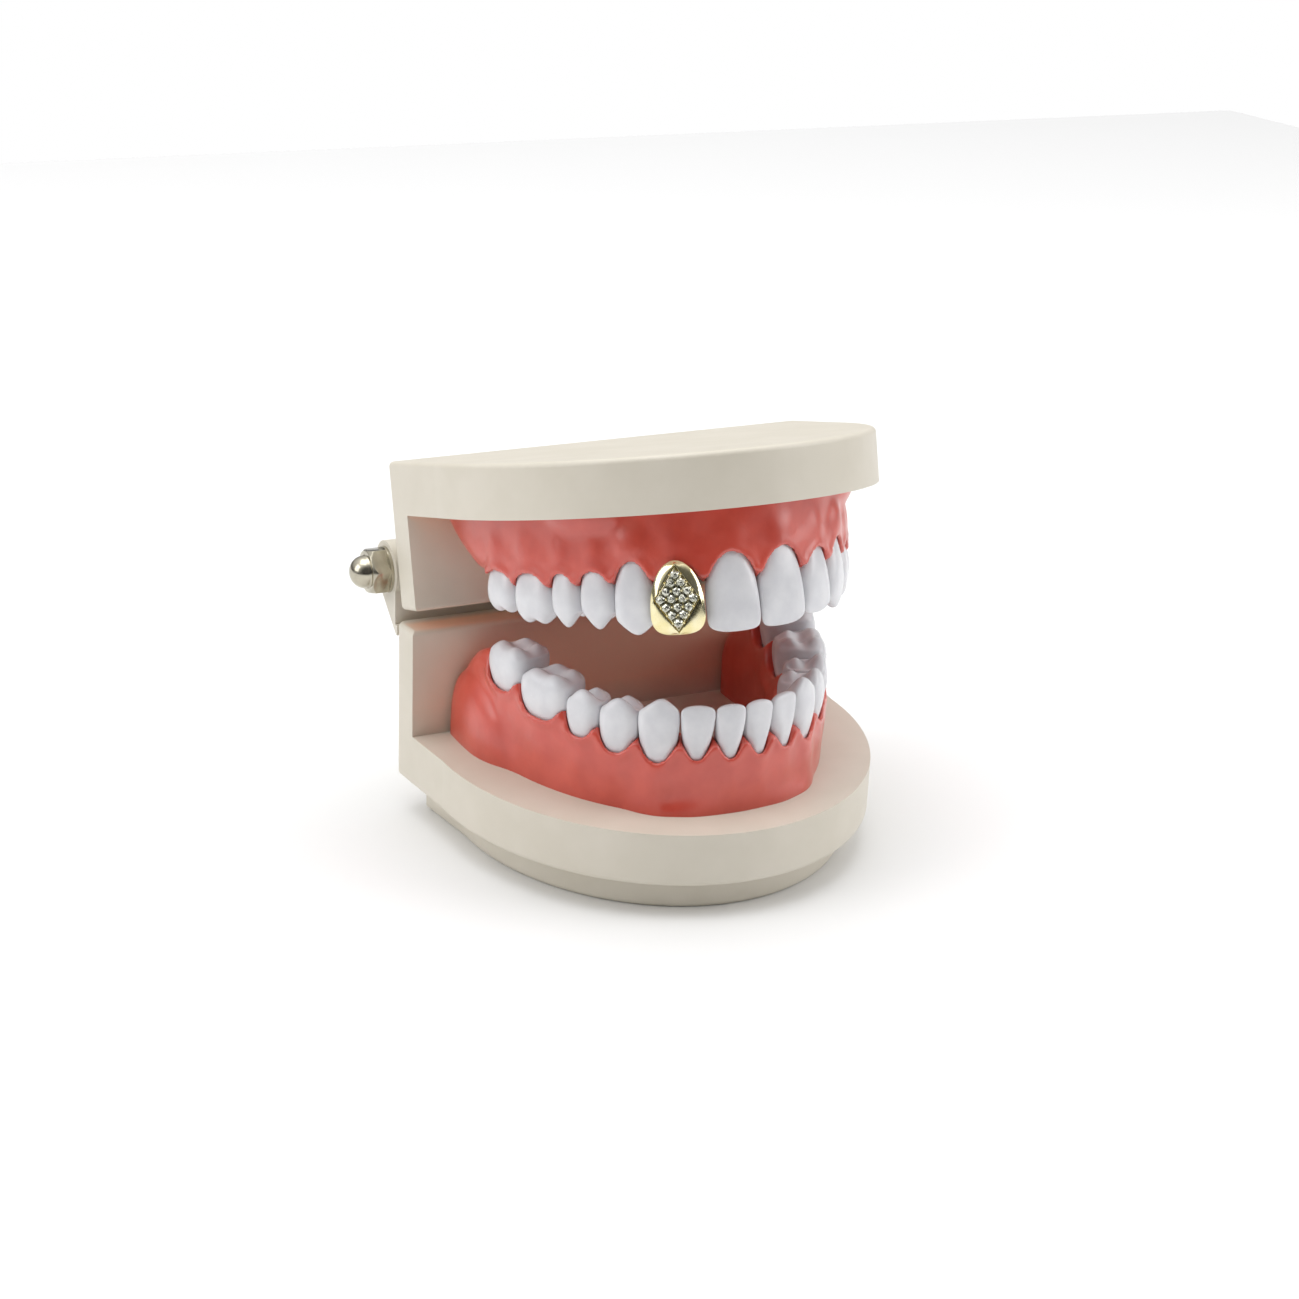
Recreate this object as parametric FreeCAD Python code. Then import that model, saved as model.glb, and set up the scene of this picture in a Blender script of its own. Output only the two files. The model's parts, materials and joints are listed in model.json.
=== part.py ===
import FreeCAD, Part
import math
import os

Vector = FreeCAD.Vector
along_x = Vector(1, 0, 0)

# Frame: +Z up, +X to the wearer's left, the front teeth face -Y.
# Origin at the centre of the foot's resting face. Millimetres.

# ---- arches: front half of an ellipse carried straight back ----
lower_arch_half_width = 27.9
lower_arch_length = 38.8
overjet = 2.5
tooth_gap = 0.06
arch_steps = 900
rail_points = 9
rail_step = 0.25

# ---- white housing: two D-shaped halves round the arches ----
plate_side_margin = 8.5
plate_front_margin = 8.3
arch_tail = 5.4
wall_thickness = 6.1
rear_flare = 1.6
side_length = 16.8
foot_height = 5.6
foot_inset = 4.0
foot_floor = 2.2
foot_wall = 2.6
foot_lip_height = 1.8
foot_lip_clearance = 0.25
plate_thickness = 8.8
plate_rim = 5.2
plate_skin = 2.6
lower_wall_height = 18.5
seam_gap = 1.0
upper_wall_height = 15.6
upper_plate_thickness = 8.6
rim_round = 0.8
corner_round = 1.3

# ---- hinge: cross rod through two ears and one long barrel ----
hinge_above_wall = 7.4
hinge_behind_wall = 4.5
hinge_boss_radius = 4.8
ear_width = 8.0
ear_root_below_wall_top = 2.5
ear_side_gap = 0.35
ear_relief = 0.35
seam_rib_thickness = 1.8
seam_rib_lap = 0.5
rod_diameter = 4.0
rod_running_clearance = 0.05
rod_in_nut = 4.0
washer_diameter = 7.8
washer_thickness = 0.5
nut_across_flats = 7.0
nut_chamfer_flare = 2.6
nut_hex_height = 3.0
nut_dome_radius = 2.85
nut_length = 5.8
rest_opening_deg = 15.0

# ---- gum blocks ----
lower_gum_outer = 1.5
upper_gum_outer = 1.9
gum_inner = 8.6
gum_wall_gap = 1.0
lower_gum_corner_inset = 12.3
lower_gum_corner_setback = 3.0
lower_gum_nose = 1.4
lower_gum_flare = 3.7
lower_gum_flare_ahead = 5.8
lower_gum_base_height = 7.0
lower_gum_base_round = 4.5
papilla_width = 0.9
window_inward = 14.0
window_outward = 12.0
window_rise = 30.0
palate_thickness = 4.6
palate_round = 3.0
vault_inset = 1.8
vault_rear_depth = 6.0
root_length = 5.0
root_overlap = 0.6
root_width_share = 0.86
root_taper = 0.72

# ---- fasteners ----
screw_diameter = 2.4
screw_head_diameter = 4.6
screw_head_height = 1.5
screw_head_recess = 0.4
screw_head_clearance = 0.2
screw_slot_width = 0.7
screw_slot_depth = 0.6
boss_radius = 3.4
foot_screw_side_margin = 18.4
foot_screw_front_margin = 21.3
foot_screw_rear_margin = 10.3
foot_screw_length = 8.0
gum_screw_inset = 3.5
gum_screw_ahead = 6.2
front_gum_screw_setback = 4.0
gum_screw_bite = 4.5
core_depth = 5.6
core_side_margin = 12.4
core_front_margin = 17.3
core_rear_margin = 7.2
palate_screw_inset = 9.0
palate_screw_front_setback = 7.0
palate_screw_rear_setback = 5.0
palate_screw_bite = 4.6

# ---- clip-on cap over one upper side incisor, with set stones ----
cap_width = 7.9
cap_height = 11.0
cap_shift = 0.5
cap_back = 1.85
cap_body = 1.15
cap_wall = 0.55
cap_front_skin = 0.5
cap_bevel = 0.9
cap_bevel_depth = 0.6
cap_clearance = 0.35
cap_slide_way = 12.0
cap_land_width = 2.4
cap_land_height = 5.0
cap_land_root = 0.1
cap_seat_gap = 0.04
cap_lip_reach = 2.3
cap_lip_root = 0.3
cap_lip_thickness = 0.5
diamond_width = 7.3
diamond_height = 10.4
diamond_raise = 0.35
stone_rows = 4
stone_diameter = 1.2
stone_pitch = 1.42
stone_depth = 0.5
stone_crown = 0.25
stone_point_share = 0.08
stone_table_share = 0.6

# How far a cutting tool runs past what it cuts, and a joined piece sinks in.
cut_margin = 1.0
sink = 0.5

# Crown sizes from the midline back: mesiodistal width, then the heights of
# the neck and the tip above the lower plate, or for the upper row below the
# upper plate; then the depth of the occlusal valley and the side valleys.
lower_teeth = [
    ("central_incisor", "incisor", 4.7, 9.3, 17.9, 0.0, 0),
    ("lateral_incisor", "incisor", 5.2, 9.3, 17.9, 0.0, 0),
    ("canine", "canine", 6.3, 8.8, 18.7, 0.0, 0),
    ("first_premolar", "premolar", 6.2, 9.4, 17.8, 1.8, 0),
    ("second_premolar", "premolar", 5.8, 10.5, 17.9, 1.8, 0),
    ("first_molar", "molar", 9.6, 11.3, 18.6, 2.0, 2),
    ("second_molar", "molar", 8.7, 13.1, 20.3, 2.0, 1),
]
upper_teeth = [
    ("central_incisor", "incisor", 8.1, 7.0, 19.0, 0.0, 0),
    ("lateral_incisor", "incisor", 6.9, 8.3, 18.2, 0.0, 0),
    ("canine", "canine", 6.6, 7.5, 18.5, 0.0, 0),
    ("first_premolar", "premolar", 5.7, 8.7, 17.5, 1.8, 0),
    ("second_premolar", "premolar", 5.2, 9.0, 17.2, 1.8, 0),
    ("first_molar", "molar", 7.8, 9.0, 16.8, 2.0, 1),
    ("second_molar", "molar", 7.0, 8.7, 15.3, 2.0, 1),
]

# Crest lines of the two gums in side view: distance in front of the gum's
# rear face, and distance from the plate that the gum sits on.
lower_crest = [
    (51.5, 12.6),
    (33.2, 12.8),
    (27.2, 13.6),
    (18.2, 15.6),
    (11.7, 17.6),
    (8.7, 17.2),
    (4.4, 14.8),
    (0.8, 9.4),
    (-1.0, 4.0),
]
upper_crest = [
    (51.5, 10.2),
    (34.2, 10.6),
    (27.2, 11.4),
    (19.2, 11.6),
    (14.6, 10.3),
    (12.8, 8.5),
    (8.8, 5.1),
    (2.0, 1.2),
    (-1.0, 0.5),
]

# Crown shape by kind, one row per level from neck to tip: height share,
# width share, outer face and inner face measured from the arch line.
crown_levels = {
    "incisor": [
        (0.00, 0.70, 1.0, -3.6),
        (0.30, 0.84, 1.4, -3.2),
        (0.60, 0.96, 1.3, -2.0),
        (0.85, 1.00, 0.9, -1.0),
        (1.00, 0.93, 0.5, -0.5),
    ],
    "canine": [
        (0.00, 0.72, 1.1, -4.2),
        (0.30, 0.88, 1.6, -3.9),
        (0.60, 1.00, 1.4, -2.8),
        (0.82, 0.90, 0.9, -1.5),
        (1.00, 0.34, 0.4, -0.6),
    ],
    "premolar": [
        (0.00, 0.76, 0.9, -5.2),
        (0.35, 0.94, 1.3, -5.9),
        (0.62, 1.00, 1.2, -5.9),
        (0.84, 0.95, 0.8, -5.5),
        (1.00, 0.78, 0.2, -4.9),
    ],
    "molar": [
        (0.00, 0.82, 0.9, -6.3),
        (0.35, 0.96, 1.3, -6.9),
        (0.62, 1.00, 1.2, -6.9),
        (0.84, 0.97, 0.8, -6.4),
        (1.00, 0.86, 0.2, -5.6),
    ],
}
section_squareness = 2.5
inward_taper_per_mm = 0.048
section_points = 16
valley_offset = {"premolar": 2.4, "molar": 2.6}
valley_wall = 0.05
side_valley_half_width = 1.3
side_valley_depth = 0.9
side_valley_above = 0.3
side_valley_span = 12.0

# ---- heights and places that follow from the sizes above ----
half_width_curve = lower_arch_half_width + plate_side_margin
half_width_rear = half_width_curve + rear_flare
half_depth = (plate_front_margin + lower_arch_length + arch_tail + wall_thickness) / 2
curve_start_y = half_depth - side_length
wall_front_y = half_depth - wall_thickness
arch_centre_y = wall_front_y - arch_tail
arch_front_y = arch_centre_y - lower_arch_length
gum_rear_y = wall_front_y - gum_wall_gap
lower_gum_corner_x = lower_arch_half_width - lower_gum_corner_inset
lower_gum_corner_y = arch_front_y + lower_gum_corner_setback
lower_gum_front_y = arch_front_y - lower_gum_nose
lower_gum_flare_x = lower_arch_half_width + lower_gum_flare
lower_gum_flare_y = arch_centre_y - lower_gum_flare_ahead
foot_screw_x = half_width_curve - foot_screw_side_margin
foot_screw_front_y = foot_screw_front_margin - half_depth
foot_screw_rear_y = half_depth - foot_screw_rear_margin
lower_gum_screw_x = lower_arch_half_width - gum_screw_inset
lower_gum_screw_y = gum_rear_y - gum_screw_ahead
front_gum_screw_y = arch_front_y + front_gum_screw_setback
core_half_width = half_width_curve - core_side_margin
core_front_y = core_front_margin - half_depth
core_rear_y = wall_front_y - core_rear_margin
palate_screw_x = core_half_width - palate_screw_inset
palate_screw_front_y = core_front_y + palate_screw_front_setback
palate_screw_rear_y = core_rear_y - palate_screw_rear_setback
vault_half_width = lower_arch_half_width + overjet - gum_inner - vault_inset
plate_bottom = foot_height
plate_top = plate_bottom + plate_thickness
lower_wall_top = plate_top + lower_wall_height
upper_wall_bottom = lower_wall_top + seam_gap
upper_plate_bottom = upper_wall_bottom + upper_wall_height
upper_plate_top = upper_plate_bottom + upper_plate_thickness
hinge_y = half_depth + hinge_behind_wall
hinge_z = lower_wall_top + hinge_above_wall
ear_inner_x = half_width_rear - ear_width
nut_start_x = half_width_rear + washer_thickness

os.makedirs("parts", exist_ok=True)


def save(name, shape):
    shape.exportStep("parts/" + name + ".step")


def opened(shape):
    """Swing a piece of the upper half, drawn shut, to the resting opening."""
    turned = shape.copy()
    turned.rotate(Vector(0, hinge_y, hinge_z), Vector(-1, 0, 0), rest_opening_deg)
    return turned


def box(x0, x1, y0, y1, z0, z1):
    return Part.makeBox(x1 - x0, y1 - y0, z1 - z0, Vector(x0, y0, z0))


def prism_across(points, half_span):
    """Side profile (y, z) carried across the model from -X to +X."""
    corners = [Vector(-half_span, y, z) for y, z in points]
    wire = Part.makePolygon(corners + [corners[0]])
    return Part.Face(wire).extrude(Vector(2 * half_span, 0, 0))


def d_outline(inset, z):
    """The housing's D outline: elliptic front, slightly flared flat sides."""
    side = half_width_curve - inset
    rear = half_width_rear - inset
    front = curve_start_y + half_depth - inset
    back_y = half_depth - inset
    centre = Vector(0, curve_start_y, z)
    ellipse = Part.Ellipse(Vector(0, curve_start_y - front, z), Vector(side, curve_start_y, z), centre)
    arc = Part.ArcOfEllipse(ellipse, -math.pi / 2, math.pi / 2).toShape()
    corners = [
        Vector(side, curve_start_y, z),
        Vector(rear, back_y, z),
        Vector(-rear, back_y, z),
        Vector(-side, curve_start_y, z),
    ]
    lines = [Part.makeLine(a, b) for a, b in zip(corners[:-1], corners[1:])]
    return Part.Wire(Part.__sortEdges__([arc] + lines))


def d_block(inset, z0, z1):
    return Part.Face(d_outline(inset, z0)).extrude(Vector(0, 0, z1 - z0))


def level_edges(shape, z, keep):
    """Edges lying flat at height z whose middle passes the keep test."""
    found = []
    for edge in shape.Edges:
        flat = all(abs(vertex.Z - z) < 1e-4 for vertex in edge.Vertexes)
        middle = edge.valueAt((edge.FirstParameter + edge.LastParameter) / 2)
        if flat and abs(middle.z - z) < 1e-4 and keep(middle):
            found.append(edge)
    return found


def rear_corner_edges(shape):
    found = []
    for edge in shape.Edges:
        upright = len(edge.Vertexes) == 2 and abs(edge.tangentAt(edge.FirstParameter).z) > 0.999
        at_corner = all(v.Y > half_depth - 0.01 and abs(v.X) > half_width_rear - 0.5 for v in edge.Vertexes)
        if upright and at_corner:
            found.append(edge)
    return found


def rounded_half(wall_z0, wall_z1, plate_z0, plate_z1):
    """One housing half: D plate with a wall across the back, edges eased."""
    z0 = min(wall_z0, plate_z0)
    z1 = max(wall_z1, plate_z1)
    whole = d_block(0.0, z0, z1)
    span = half_width_rear + cut_margin
    front = -half_depth - cut_margin
    if wall_z1 > plate_z1:
        spare = box(-span, span, front, wall_front_y, plate_z1, z1 + cut_margin)
    else:
        spare = box(-span, span, front, wall_front_y, z0 - cut_margin, plate_z0)
    half = whole.cut(spare)
    half = half.makeFillet(corner_round, rear_corner_edges(half))
    outer = level_edges(half, z0, lambda p: True) + level_edges(half, z1, lambda p: True)
    half = half.makeFillet(rim_round, outer)
    return half


# ---- screws ----
def slotted_screw(length):
    """Cheese-head screw: head below z = 0, shank up along +Z."""
    head = Part.makeCylinder(screw_head_diameter / 2, screw_head_height, Vector(0, 0, -screw_head_height))
    shank = Part.makeCylinder(screw_diameter / 2, length)
    half = screw_head_diameter / 2 + cut_margin
    slot_floor = -screw_head_height + screw_slot_depth
    slot_half = screw_slot_width / 2
    slot = box(-half, half, -slot_half, slot_half, -screw_head_height - cut_margin, slot_floor)
    return head.fuse(shank).removeSplitter().cut(slot)


def placed(shape, x, y, z):
    copy = shape.copy()
    copy.translate(Vector(x, y, z))
    return copy


foot_screw_spots = [
    (x, y) for x in (-foot_screw_x, foot_screw_x) for y in (foot_screw_front_y, foot_screw_rear_y)
]
lower_gum_screw_spots = [
    (0.0, front_gum_screw_y),
    (-lower_gum_screw_x, lower_gum_screw_y),
    (lower_gum_screw_x, lower_gum_screw_y),
]
palate_screw_spots = [
    (0.0, palate_screw_front_y),
    (-palate_screw_x, palate_screw_rear_y),
    (palate_screw_x, palate_screw_rear_y),
]
foot_head_z = screw_head_height + screw_head_recess
lower_skin_z = plate_top - plate_skin
foot_screws = [placed(slotted_screw(foot_screw_length), x, y, foot_head_z) for x, y in foot_screw_spots]
lower_gum_screws = [
    placed(slotted_screw(plate_skin + gum_screw_bite), x, y, lower_skin_z) for x, y in lower_gum_screw_spots
]

# ---- lower half of the housing ----
lower_half = rounded_half(plate_bottom, lower_wall_top, plate_bottom, plate_top)
lower_half = lower_half.cut(d_block(plate_rim, plate_bottom - cut_margin, lower_skin_z))
for x, y in foot_screw_spots:
    boss = Part.makeCylinder(boss_radius, lower_skin_z - foot_floor + sink, Vector(x, y, foot_floor))
    lower_half = lower_half.fuse(boss)
ear_root_z = lower_wall_top - ear_root_below_wall_top
root_to_axis = math.hypot(hinge_behind_wall, hinge_z - ear_root_z)
tangent_length = math.sqrt(root_to_axis ** 2 - hinge_boss_radius ** 2)
axis_angle = math.atan2(hinge_z - ear_root_z, hinge_behind_wall)
tangent_angle = axis_angle - math.asin(hinge_boss_radius / root_to_axis)
tangent_y = half_depth + tangent_length * math.cos(tangent_angle)
tangent_z = ear_root_z + tangent_length * math.sin(tangent_angle)
neck_points = [
    (half_depth - sink, ear_root_z),
    (half_depth, ear_root_z),
    (tangent_y, tangent_z),
    (hinge_y, hinge_z),
    (half_depth + ear_relief, hinge_z),
    (half_depth + ear_relief, lower_wall_top - rim_round),
    (half_depth - sink, lower_wall_top - rim_round),
]
for side in (-1, 1):
    x0 = ear_inner_x if side > 0 else -half_width_rear
    disc = Part.makeCylinder(hinge_boss_radius, ear_width, Vector(x0, hinge_y, hinge_z), along_x)
    corners = [Vector(x0, y, z) for y, z in neck_points]
    neck = Part.Face(Part.makePolygon(corners + [corners[0]])).extrude(Vector(ear_width, 0, 0))
    lower_half = lower_half.fuse([disc, neck])

# Low rib between the ears: it closes the seam from behind.
rib_front_y = half_depth + ear_relief
rib_rear_y = rib_front_y + seam_rib_thickness
rib_top_z = upper_wall_bottom + seam_rib_lap
rib_points = [
    (half_depth - sink, ear_root_z),
    (half_depth, ear_root_z),
    (rib_rear_y, ear_root_z + rib_rear_y - half_depth),
    (rib_rear_y, rib_top_z),
    (rib_front_y, rib_top_z),
    (rib_front_y, lower_wall_top - rim_round),
    (half_depth - sink, lower_wall_top - rim_round),
]
seam_rib = prism_across(rib_points, ear_inner_x)
lower_half = lower_half.fuse(seam_rib).removeSplitter()

# ---- hinge rod, washers and domed nuts ----
rod_half = nut_start_x + rod_in_nut
hinge_rod = Part.makeCylinder(rod_diameter / 2, 2 * rod_half, Vector(-rod_half, hinge_y, hinge_z), along_x)
lower_frame = lower_half.cut([hinge_rod] + foot_screws + lower_gum_screws)


def hex_prism(across_flats, length):
    corners = []
    for k in range(6):
        angle = math.radians(60 * k + 30)
        reach = across_flats / 2 / math.cos(math.radians(30))
        corners.append(Vector(0, reach * math.cos(angle), reach * math.sin(angle)))
    return Part.Face(Part.makePolygon(corners + [corners[0]])).extrude(Vector(length, 0, 0))


def domed_nut():
    """Cap nut pointing along +X with its bearing face at x = 0."""
    flat = nut_across_flats / 2
    chamfer = Part.makeCone(flat + nut_chamfer_flare, flat, nut_hex_height, Vector(0, 0, 0), along_x)
    hexagon = hex_prism(nut_across_flats, nut_hex_height).common(chamfer)
    neck_length = nut_length - nut_dome_radius
    neck = Part.makeCylinder(nut_dome_radius, neck_length, Vector(0, 0, 0), along_x)
    dome = Part.makeSphere(nut_dome_radius, Vector(neck_length, 0, 0))
    bore = Part.makeCylinder(rod_diameter / 2, rod_in_nut, Vector(0, 0, 0), along_x)
    return hexagon.fuse([neck, dome]).removeSplitter().cut(bore)


def on_hinge(shape, side):
    """Seat a piece drawn along +X on the rod's right (-1) or left (+1) end."""
    piece = shape.copy()
    if side < 0:
        piece.rotate(Vector(0, 0, 0), Vector(0, 0, 1), 180)
    piece.translate(Vector(side * half_width_rear, hinge_y, hinge_z))
    return piece


washer = Part.makeCylinder(washer_diameter / 2, washer_thickness, Vector(0, 0, 0), along_x)
washer = washer.cut(Part.makeCylinder(rod_diameter / 2, washer_thickness, Vector(0, 0, 0), along_x))
nut = domed_nut()
nut.translate(Vector(washer_thickness, 0, 0))
for word, side in (("right", -1), ("left", 1)):
    save("hinge_washer_" + word, on_hinge(washer, side))
    save("domed_nut_" + word, on_hinge(nut, side))
save("hinge_rod", hinge_rod)

# ---- foot that closes the hollow base ----
foot_top = plate_bottom + foot_lip_height
foot = d_block(foot_inset, 0.0, plate_bottom)
foot = foot.fuse(d_block(plate_rim + foot_lip_clearance, plate_bottom - sink, foot_top)).removeSplitter()
foot = foot.makeFillet(rim_round, level_edges(foot, 0.0, lambda p: True))
foot = foot.cut(d_block(foot_inset + foot_wall, foot_floor, foot_top + cut_margin))
for x, y in foot_screw_spots:
    recess = Part.makeCylinder(screw_head_diameter / 2 + screw_head_clearance, foot_head_z, Vector(x, y, 0))
    foot = foot.cut(recess)
foot = foot.cut(foot_screws)
save("base_foot", foot)
save("foot_screws", Part.makeCompound(foot_screws))


# ---- arch line ----
def arch_frame(run, side, widen):
    """Point, outward direction and turn of the arch at a run from the midline."""
    half_width = lower_arch_half_width + widen
    length = lower_arch_length + widen
    travelled = 0.0
    angle = 0.0
    step = math.pi / 2 / arch_steps
    while travelled < run and angle < math.pi / 2:
        travelled += math.hypot(half_width * math.cos(angle), length * math.sin(angle)) * step
        angle += step
    beyond = max(0.0, run - travelled)
    point = Vector(half_width * math.sin(angle), arch_centre_y - length * math.cos(angle) + beyond, 0)
    normal = Vector(length * math.sin(angle), -half_width * math.cos(angle), 0)
    normal.normalize()
    point.x *= side
    normal.x *= side
    return point, normal


def rail(widen, offset, end_y):
    """Smooth edge following the arch at an offset, from the -X end to +X."""
    run_end = 0.0
    while arch_frame(run_end, 1, widen)[0].y < end_y:
        run_end += rail_step
    count = rail_points
    points = []
    for k in range(-count, count + 1):
        side = -1 if k < 0 else 1
        point, normal = arch_frame(abs(k) / count * run_end, side, widen)
        points.append(point + normal * offset)
    return points


def horseshoe(widen, outer, inner, z0, z1):
    outside = rail(widen, outer, gum_rear_y)
    inside = rail(widen, -inner, gum_rear_y)
    for points in (outside, inside):
        points[0].y = gum_rear_y
        points[-1].y = gum_rear_y
    outer_curve = Part.BSplineCurve()
    outer_curve.interpolate(outside)
    inner_curve = Part.BSplineCurve()
    inner_curve.interpolate(inside)
    edges = [
        outer_curve.toShape(),
        Part.makeLine(outside[-1], inside[-1]),
        inner_curve.toShape(),
        Part.makeLine(inside[0], outside[0]),
    ]
    wire = Part.Wire(Part.__sortEdges__(edges))
    block = Part.Face(wire).extrude(Vector(0, 0, z1 - z0))
    block.translate(Vector(0, 0, z0))
    return block


def arch_fill(widen, outer, z0, z1):
    """Solid D block bounded by the arch at an offset, closed at the back."""
    outside = rail(widen, outer, gum_rear_y)
    outside[0].y = gum_rear_y
    outside[-1].y = gum_rear_y
    curve = Part.BSplineCurve()
    curve.interpolate(outside)
    wire = Part.Wire(Part.__sortEdges__([curve.toShape(), Part.makeLine(outside[-1], outside[0])]))
    block = Part.Face(wire).extrude(Vector(0, 0, z1 - z0))
    block.translate(Vector(0, 0, z0))
    return block


# ---- teeth ----
def crown_section(half_x, outer_y, inner_y, z):
    middle = (outer_y + inner_y) / 2
    half_y = (outer_y - inner_y) / 2
    power = 2 / section_squareness
    points = []
    for k in range(section_points):
        angle = 2 * math.pi * k / section_points
        c = math.cos(angle)
        s = math.sin(angle)
        y = middle + half_y * math.copysign(abs(s) ** power, s)
        x = half_x * math.copysign(abs(c) ** power, c) * (1 + inward_taper_per_mm * min(y, 0.0))
        points.append(Vector(x, y, z))
    curve = Part.BSplineCurve()
    curve.interpolate(points, PeriodicFlag=True)
    return Part.Wire([curve.toShape()])


def wedge(a, b, c, start, run):
    return Part.Face(Part.makePolygon([a, b, c, a])).extrude(run).translated(start)


def tooth(kind, width, height, valley, side_valleys):
    """Crown standing on z = 0 with its tip at z = height and a root peg below."""
    sections = []
    for share, wide, outer_y, inner_y in crown_levels[kind]:
        half_x = (width - tooth_gap) / 2 * wide
        sections.append(crown_section(half_x, outer_y, inner_y, share * height))
    crown = Part.makeLoft(sections, True, False)
    neck = crown_levels[kind][0]
    root_radius = min(width * neck[1], neck[2] - neck[3]) / 2 * root_width_share
    root_y = (neck[2] + neck[3]) / 2
    root = Part.makeCone(
        root_radius * root_taper, root_radius, root_length + root_overlap, Vector(0, root_y, -root_length)
    )
    body = crown.fuse(root)
    if valley > 0:
        centre_y = -valley_offset[kind]
        ridge = valley_offset[kind] + valley_wall
        top = height + cut_margin
        rise = valley + cut_margin
        spread = ridge * rise / valley
        trough = wedge(
            Vector(0, centre_y - spread, top),
            Vector(0, centre_y, height - valley),
            Vector(0, centre_y + spread, top),
            Vector(-width, 0, 0),
            Vector(2 * width, 0, 0),
        )
        body = body.cut(trough)
        for k in range(side_valleys):
            x = width * ((k + 1) / (side_valleys + 1) - 0.5)
            notch = wedge(
                Vector(x - side_valley_half_width, 0, height + side_valley_above),
                Vector(x, 0, height - side_valley_depth),
                Vector(x + side_valley_half_width, 0, height + side_valley_above),
                Vector(0, -side_valley_span, 0),
                Vector(0, 2 * side_valley_span, 0),
            )
            body = body.cut(notch)
    return body


def gum_window(width):
    """U-shaped window that bares a crown: floor on z = 0, open upward."""
    half = (width - papilla_width) / 2
    through = window_inward + window_outward
    bottom = Part.makeCylinder(half, through, Vector(0, -window_inward, half), Vector(0, 1, 0))
    upper = box(-half, half, -window_inward, window_outward, half, half + window_rise)
    return bottom.fuse(upper)


def into_arch(shape, run, side, widen, height, pointing_up):
    """Carry a piece drawn on the arch line to its place in the shut model."""
    piece = shape.copy()
    if not pointing_up:
        piece = piece.mirror(Vector(0, 0, 0), Vector(0, 0, 1))
    point, normal = arch_frame(run, side, widen)
    turn = math.degrees(math.atan2(normal.y, normal.x)) - 90
    piece.rotate(Vector(0, 0, 0), Vector(0, 0, 1), turn)
    piece.translate(Vector(point.x, point.y, height))
    return piece


def build_row(teeth, widen, plate_z, pointing_up):
    """All crowns of one jaw and the gum windows that go with them."""
    crowns = {}
    windows = []
    for word, side in (("right", -1), ("left", 1)):
        run = 0.0
        for name, kind, width, neck, tip, valley, side_valleys in teeth:
            run += width / 2
            solid = tooth(kind, width, tip - neck, valley, side_valleys)
            height = plate_z + neck if pointing_up else plate_z - neck
            crowns[word + "_" + name] = into_arch(solid, run, side, widen, height, pointing_up)
            windows.append(into_arch(gum_window(width), run, side, widen, height, pointing_up))
            run += width / 2
    return crowns, windows


lower_crowns, lower_windows = build_row(lower_teeth, 0.0, plate_top, True)
upper_crowns, upper_windows = build_row(upper_teeth, overjet, upper_plate_bottom, False)


def crest_prism(crest, base_z, up):
    """The side view between a gum's base and its crest, carried across."""
    points = [(gum_rear_y - ahead, base_z + up * rise) for ahead, rise in crest]
    past = base_z - up * cut_margin
    return prism_across([(points[0][0], past)] + points + [(points[-1][0], past)], half_width_rear)


# ---- lower gum: angular base block under a curved tooth ridge ----
tall = plate_top + max(rise for ahead, rise in lower_crest) + cut_margin
lower_base_corners = [
    (-lower_gum_flare_x, gum_rear_y),
    (-lower_gum_flare_x, lower_gum_flare_y),
    (-lower_gum_corner_x, lower_gum_corner_y),
    (-lower_gum_corner_x / 2, lower_gum_front_y),
    (lower_gum_corner_x / 2, lower_gum_front_y),
    (lower_gum_corner_x, lower_gum_corner_y),
    (lower_gum_flare_x, lower_gum_flare_y),
    (lower_gum_flare_x, gum_rear_y),
]
base_points = [Vector(x, y, plate_top) for x, y in lower_base_corners]
lower_base = Part.Face(Part.makePolygon(base_points + [base_points[0]]))
lower_base = lower_base.extrude(Vector(0, 0, lower_gum_base_height))
blunt = []
for edge in lower_base.Edges:
    upright = abs(edge.tangentAt(edge.FirstParameter).z) > 0.999
    if upright and edge.Vertexes[0].Y < gum_rear_y - cut_margin:
        blunt.append(edge)
lower_base = lower_base.makeFillet(lower_gum_base_round, blunt)
lower_base = lower_base.cut(arch_fill(0.0, -gum_inner, plate_top - cut_margin, tall))
lower_ridge = horseshoe(0.0, lower_gum_outer, gum_inner, plate_top, tall)
lower_gum = lower_ridge.fuse(lower_base).removeSplitter()
lower_gum = lower_gum.common(crest_prism(lower_crest, plate_top, 1))
lower_gum = lower_gum.cut(lower_windows)
lower_gum = lower_gum.cut(list(lower_crowns.values()) + lower_gum_screws)

# ---- upper half of the housing ----
upper_half = rounded_half(upper_wall_bottom, upper_plate_top, upper_plate_bottom, upper_plate_top)
barrel_half = ear_inner_x - ear_side_gap
barrel_start = Vector(-barrel_half, hinge_y, hinge_z)
barrel = Part.makeCylinder(hinge_boss_radius, 2 * barrel_half, barrel_start, along_x)
web_bottom = hinge_z - hinge_boss_radius
web_top = hinge_z + hinge_boss_radius
web = box(-barrel_half, barrel_half, half_depth - sink, hinge_y, web_bottom, web_top)
upper_half = upper_half.fuse([barrel, web]).removeSplitter()
bore_radius = rod_diameter / 2 + rod_running_clearance
bore_start = Vector(-half_width_rear, hinge_y, hinge_z)
bore = Part.makeCylinder(bore_radius, 2 * half_width_rear, bore_start, along_x)
cuts = [bore]
relief_radius = hinge_boss_radius + ear_relief
relief_length = half_width_rear + cut_margin - barrel_half
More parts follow.
